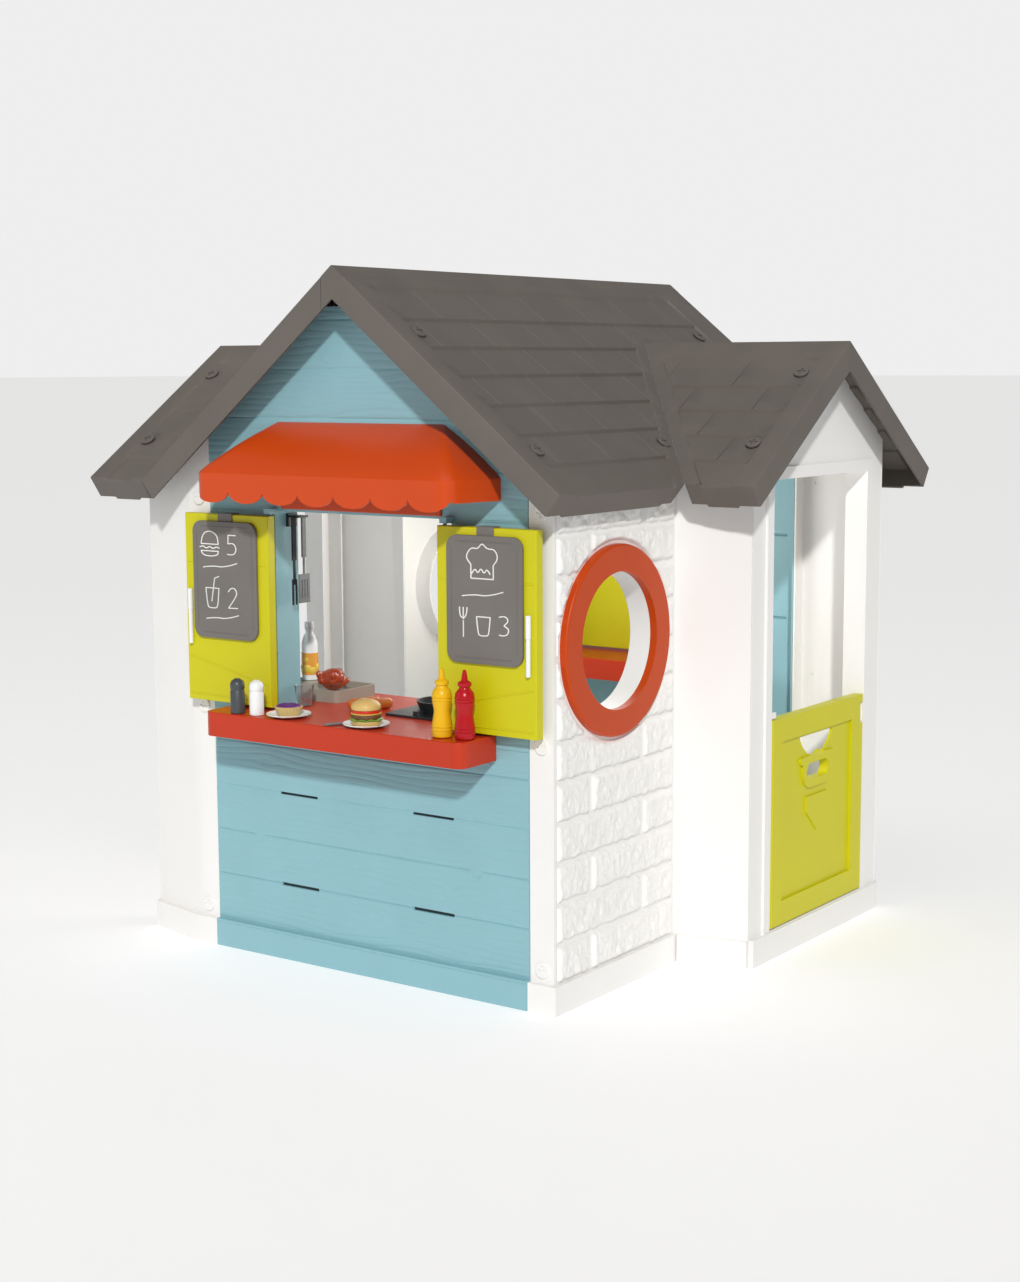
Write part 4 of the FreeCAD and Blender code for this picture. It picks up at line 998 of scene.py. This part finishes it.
x, y = toys["burger"]
burger = {"base": [(23, 3.4), (26, 4.5), (27.5, 8), (27.5, 12), (26, 14)],
          "leaf": [(26, 13.6), (29.5, 14.6), (30.5, 16), (29.5, 17), (20, 17.4)],
          "patty": [(25, 16.6), (27.6, 18), (28.2, 21.5), (27.4, 25), (25, 26)],
          "cheese": [(25, 25.8), (28.6, 26), (28.6, 27.6), (24, 28)],
          "tomato": [(23, 27.6), (27.4, 28.2), (28, 30.6), (27.2, 33), (23, 33.6)],
          "crown": [(24, 33), (27.6, 34), (28.6, 37.5), (27, 42.5), (22, 48), (14, 51.6), (6, 53),
                    (1.4, 53.2)]}
for layer, finish, slot in (("base", bunTan, "card_print"), ("leaf", leafGreen, "card_print"),
                            ("patty", pattyBrown, "roast_plastic"),
                            ("cheese", cheeseYellow, "card_print"), ("tomato", tomatoRed, "roast_plastic"),
                            ("crown", bunTan, "card_print")):
    part = lathe(x, y, [(r, shelf + h) for r, h in burger[layer]], 64)
    if layer == "leaf":
        rippled(part, x, y, shelf + 14, shelf + 18, 0.05, 11)
        for vertex in part.data.vertices:
            vertex.co.z += 0.0014 * math.sin(9 * math.atan2(vertex.co.y - middle - y / 1000,
                                                            vertex.co.x - x / 1000))
    if layer == "patty":
        roughened(part, 1.3, 3.5)
    if layer == "tomato":
        rippled(part, x, y, shelf + 27, shelf + 34, 0.012, 7)
    if layer == "crown":
        seeds = []
        for i in range(26):
            lean, turn = random.uniform(0.1, 0.95), random.uniform(0, 6.28)
            seed = block(-1.6, 1.6, -0.8, 0.8, -0.5, 0.6, 0.4, 2)
            r = 25.5 * math.sin(lean)
            spot = Matrix.Translation(at(x + r * math.cos(turn), y + r * math.sin(turn),
                                         shelf + 36.5 + 17.2 * math.cos(lean)))
            spin = Matrix.Rotation(random.uniform(0, 3), 4, "Z")
            tilt = Matrix.Rotation(turn, 4, "Z") @ Matrix.Rotation(lean, 4, "Y")
            place(seed, spot @ tilt @ spin @ Matrix.Translation((0, -middle, 0)))
            seeds.append(seed)
        hand(joined(seeds), "burgerSeeds", "house", crustTan, "card_print")
    hand(shade(part, 45, False), "burger" + layer.capitalize(), "house", finish, slot)

x, y = toys["knife"]
knife = outline([(-6, -48, shelf + 1), (-6, 6, shelf + 1), (-4.5, 8, shelf + 1), (-4.5, 40, shelf + 1),
                 (-2, 50, shelf + 1),
                 (3, 52, shelf + 1), (5, 46, shelf + 1), (5, 8, shelf + 1), (6.5, 6, shelf + 1),
                 (6.5, -48, shelf + 1),
                 (4, -52, shelf + 1), (-3.5, -52, shelf + 1)], (0, 0, 3))
place(knife, Matrix.Translation((x / 1000, y / 1000 + middle + 0.024,
                                 0)) @ Matrix.Rotation(math.radians(-28), 4,
                                                       "Z") @ Matrix.Translation((0, -middle, 0)))
hand(soften(knife, 0.8, 3), "toyKnife", "house", greyTool, "grey_plastic")
print("shelf toys made")


# play kitchen inside the window

def middleOf(node):
    low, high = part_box(node)
    return (low.x + high.x) * 500, (low.y + high.y) * 500 - middle * 1000, low.z * 1000, high.z * 1000


x, y, low, high = middleOf("juice_bottle")
bottle = lathe(x, y, [(14, low), (16.6, low + 2), (17, low + 6), (17, low + 60), (16.6, low + 64),
                      (17, low + 70), (16, low + 80),
                      (12, low + 92), (8.6, low + 97), (8, low + 99), (8, low + 104), (9.4, low + 105),
                      (9.4, low + 107), (8, low + 108)], 48)
hand(shade(bottle, 40, False), "juiceBottle", "house", whiteGloss, "bottle_plastic", "juice_bottle")
label = lathe(x, y, [(16.8, low + 12), (17.5, low + 12.4), (17.5, low + 57.6), (16.8, low + 58)], 48)
hand(shade(label, 40, False), "juiceLabel", "house", juiceLabel, "bottle_plastic")
fruits = []
for i, (turn, rise, size) in enumerate(((-1.2, 26, 8.5), (-0.55, 22, 7.5), (-1.95, 20, 7), (-1.35, 44, 6),
                                        (0.3, 28, 8), (-2.9, 27, 8), (2.2, 25, 8))):
    deselect()
    bpy.ops.mesh.primitive_uv_sphere_add(segments=24, ring_count=12, radius=size / 1000,
                                         location=at(x + 16.2 * math.cos(turn), y + 16.2 * math.sin(turn),
                                                     low + rise), scale=(0.35, 1, 1),
                                         rotation=(0, 0, turn))
    fruits.append(place(bpy.context.object))
hand(shade(joined(fruits), 60, False), "labelFruits", "house", cheeseYellow, "bottle_plastic")
x, y, low, high = middleOf("juice_bottle_cap")
cap = lathe(x, y, [(9.2, low), (9.8, low + 0.6), (9.8, low + 12), (8.6, low + 13.6), (2, low + 13.9)], 60)
rippled(cap, x, y, low + 0.5, low + 12.5, 0.02, 20)
hand(shade(cap, 40, False), "juiceBottleCap", "house", whiteGloss, "bottle_plastic", "juice_bottle_cap")

x, y, low, high = middleOf("roast_chicken")
roast = []
for dx, dy, dz, size, scale, turn in ((0, 0, 24, 25, (1.12, 0.95, 0.92), 0),
                                      (-17, -12, 27, 12, (1.0, 1.5, 0.95), 0.5),
                                      (17, -12, 27, 12, (1.0, 1.5, 0.95), -0.5),
                                      (-20, -22, 36, 6.5, (0.9, 1.3, 1.1), 0.4),
                                      (20, -22, 36, 6.5, (0.9, 1.3, 1.1), -0.4),
                                      (-25, 6, 20, 9, (0.8, 1.5, 0.7), 0.2),
                                      (25, 6, 20, 9, (0.8, 1.5, 0.7), -0.2),
                                      (0, 14, 38, 8, (1.7, 1.1, 0.9), 0)):
    deselect()
    bpy.ops.mesh.primitive_uv_sphere_add(segments=24, ring_count=14, radius=size / 1000,
                                         location=at(x + dx, y + dy + 4, low + dz),
                                         scale=scale, rotation=(0.5 if size < 15 else 0, 0, turn))
    roast.append(place(bpy.context.object))
bird = joined(roast)
knit = bird.modifiers.new("knit", "REMESH")
knit.mode = "VOXEL"
knit.voxel_size = 0.0016
melt = bird.modifiers.new("melt", "SMOOTH")
melt.factor = 0.6
melt.iterations = 6
applyAll(bird)
for vertex in bird.data.vertices:
    vertex.co.z = max(vertex.co.z, low / 1000)
roughened(bird, 0.7, 4)
hand(shade(bird, 80, False), "roastChicken", "house", roastBrown, "roast_plastic", "roast_chicken")

x, y, low, high = middleOf("sausages")
links = []
for dx in (-15, 15):
    deselect()
    bpy.ops.mesh.primitive_cylinder_add(vertices=32, radius=0.0108, depth=0.072,
                                        location=at(x + dx, y, low + 11),
                                        rotation=(math.pi / 2, 0, -0.33))
    link = place(bpy.context.object)
    step = link.modifiers.new("ends", "BEVEL")
    step.width = 0.0085
    step.segments = 6
    step.limit_method = "ANGLE"
    applyAll(link)
    for k in range(-2, 3):
        bridge = lathe(0, 0, [(9.2, -1.4), (10.9, -0.9), (10.9, 0.9), (9.2, 1.4)], 24)
        spin = Matrix.Rotation(-0.33, 4,
                               "Z") @ Matrix.Translation((0, k * 0.0125,
                                                          0)) @ Matrix.Rotation(math.pi / 2, 4, "X")
        place(bridge, Matrix.Translation(at(x + dx, y,
                                            low + 11)) @ spin @ Matrix.Translation((0, -middle, 0)))
        link = joined([link, bridge])
    links.append(link)
hand(shade(joined(links), 45, False), "grilledSausages", "house", sausageTan, "sausage_plastic", "sausages")

x, y, low, high = middleOf("drinking_cup")
glass = lathe(x, y, [(13, low), (14.6, low + 0.8), (19.6, low + 40.5), (19.8, low + 41.8), (18.6, low + 42),
                     (18, low + 41), (13.4, low + 3), (2, low + 2.6)], 48)
clearGlass = bpy.data.materials.new("clearPlastic")
clearGlass.use_nodes = True
clearShader = clearGlass.node_tree.nodes["Principled BSDF"]
clearShader.inputs["Transmission Weight"].default_value = 0.95
clearShader.inputs["IOR"].default_value = 1.4
cloud = clearGlass.node_tree.nodes.new("ShaderNodeTexNoise")
cloud.inputs["Scale"].default_value = 60
haze = clearGlass.node_tree.nodes.new("ShaderNodeMapRange")
haze.inputs["To Min"].default_value = 0.03
haze.inputs["To Max"].default_value = 0.10
clearShader.inputs["Base Color"].default_value = (0.93, 0.95, 0.96, 1)
where = clearGlass.node_tree.nodes.new("ShaderNodeTexCoord")
clearGlass.node_tree.links.new(where.outputs["Object"], cloud.inputs["Vector"])
clearGlass.node_tree.links.new(cloud.outputs["Fac"], haze.inputs["Value"])
clearGlass.node_tree.links.new(haze.outputs["Result"], clearShader.inputs["Roughness"])
hand(shade(glass, 40, False), "drinkingCup", "house", clearGlass, "clear_plastic", "drinking_cup")
hand(fromNode("frying_pan", 0.6, 2), "fryingPan", "house", blackTool, "black_plastic", "frying_pan")
hand(fromNode("recipe_cards", 0.3, 1), "recipeCards", "house", cardPrint, "card_print", "recipe_cards")
print("kitchen made")


# floor, light and camera

deselect()
bpy.ops.mesh.primitive_plane_add(size=400, location=(0, 0, 0))
floor = bpy.context.object
floor.name = "studioFloor"
paper = plastic("paleFloor", (0.86, 0.86, 0.86), rough=0.9, grain=60, depth=0.02, mottle=0.005, shine=0.2)
paper.node_tree.nodes["Principled BSDF"].inputs["Emission Color"].default_value = (1, 1, 1, 1)
paper.node_tree.nodes["Principled BSDF"].inputs["Emission Strength"].default_value = 0.26
floor.data.materials.append(paper)

world = bpy.data.worlds.new("studio")
bpy.context.scene.world = world
bpy.context.scene.view_settings.view_transform = "Standard"
world.use_nodes = True
light = world.node_tree.nodes["Background"]
light.inputs["Color"].default_value = (0.97, 0.985, 1.0, 1)
light.inputs["Strength"].default_value = 0.25
backdrop = world.node_tree.nodes.new("ShaderNodeBackground")
backdrop.inputs["Color"].default_value = (1, 1, 1, 1)
backdrop.inputs["Strength"].default_value = 0.86
seen = world.node_tree.nodes.new("ShaderNodeLightPath")
blend = world.node_tree.nodes.new("ShaderNodeMixShader")
world.node_tree.links.new(seen.outputs["Is Camera Ray"], blend.inputs["Fac"])
world.node_tree.links.new(light.outputs["Background"], blend.inputs[1])
world.node_tree.links.new(backdrop.outputs["Background"], blend.inputs[2])
world.node_tree.links.new(blend.outputs["Shader"], world.node_tree.nodes["World Output"].inputs["Surface"])


def lamp(name, azimuth, elevation, far, size, watts, colour=(1, 1, 1)):
    deselect()
    turn, rise = math.radians(azimuth), math.radians(elevation)
    aim = Vector((0.05, 0, 0.6))
    spot = aim + far * Vector((math.sin(turn) * math.cos(rise), -math.cos(turn) * math.cos(rise),
                               math.sin(rise)))
    bpy.ops.object.light_add(type="AREA", location=spot)
    light = bpy.context.object
    light.name = name
    light.rotation_euler = (aim - spot).to_track_quat("-Z", "Y").to_euler()
    light.data.size = size
    light.data.energy = watts
    light.data.color = colour


def sun(name, azimuth, elevation, strength, width, colour):
    deselect()
    bpy.ops.object.light_add(type="SUN", rotation=(math.radians(90 - elevation), 0, math.radians(azimuth)))
    light = bpy.context.object
    light.name = name
    light.data.energy = strength
    light.data.angle = math.radians(width)
    light.data.color = colour


sun("keyLight", 37, 32, 2.25, 3.5, (1.0, 0.985, 0.96))
lamp("fillLight", -35, 20, 6.0, 3.5, 24)
lamp("topLight", 20, 75, 5.0, 3.0, 24)
deselect()
bpy.ops.object.light_add(type="POINT", location=at(0, 60, 820))
inside = bpy.context.object
inside.name = "insideLight"
inside.data.energy = 8
inside.data.shadow_soft_size = 0.22
inside.data.color = (1.0, 0.97, 0.93)

view = {"place": (2.4517, -3.4759, 1.1720), "turn": 35.22, "tilt": 82.35, "roll": -0.25, "lens": 57.07,
        "shift": (-0.0063, -0.0015)}
cameraData = bpy.data.cameras.new("studioCamera")
camera = bpy.data.objects.new("studioCamera", cameraData)
bpy.context.scene.collection.objects.link(camera)
cameraData.lens = view["lens"]
cameraData.shift_x, cameraData.shift_y = view["shift"]
camera.matrix_world = (Matrix.Translation(view["place"]) @ Matrix.Rotation(math.radians(view["turn"]), 4, "Z")
                       @ Matrix.Rotation(math.radians(view["tilt"]), 4, "X")
                       @ Matrix.Rotation(math.radians(view["roll"]), 4, "Z"))
bpy.context.scene.camera = camera

print("scene ready")
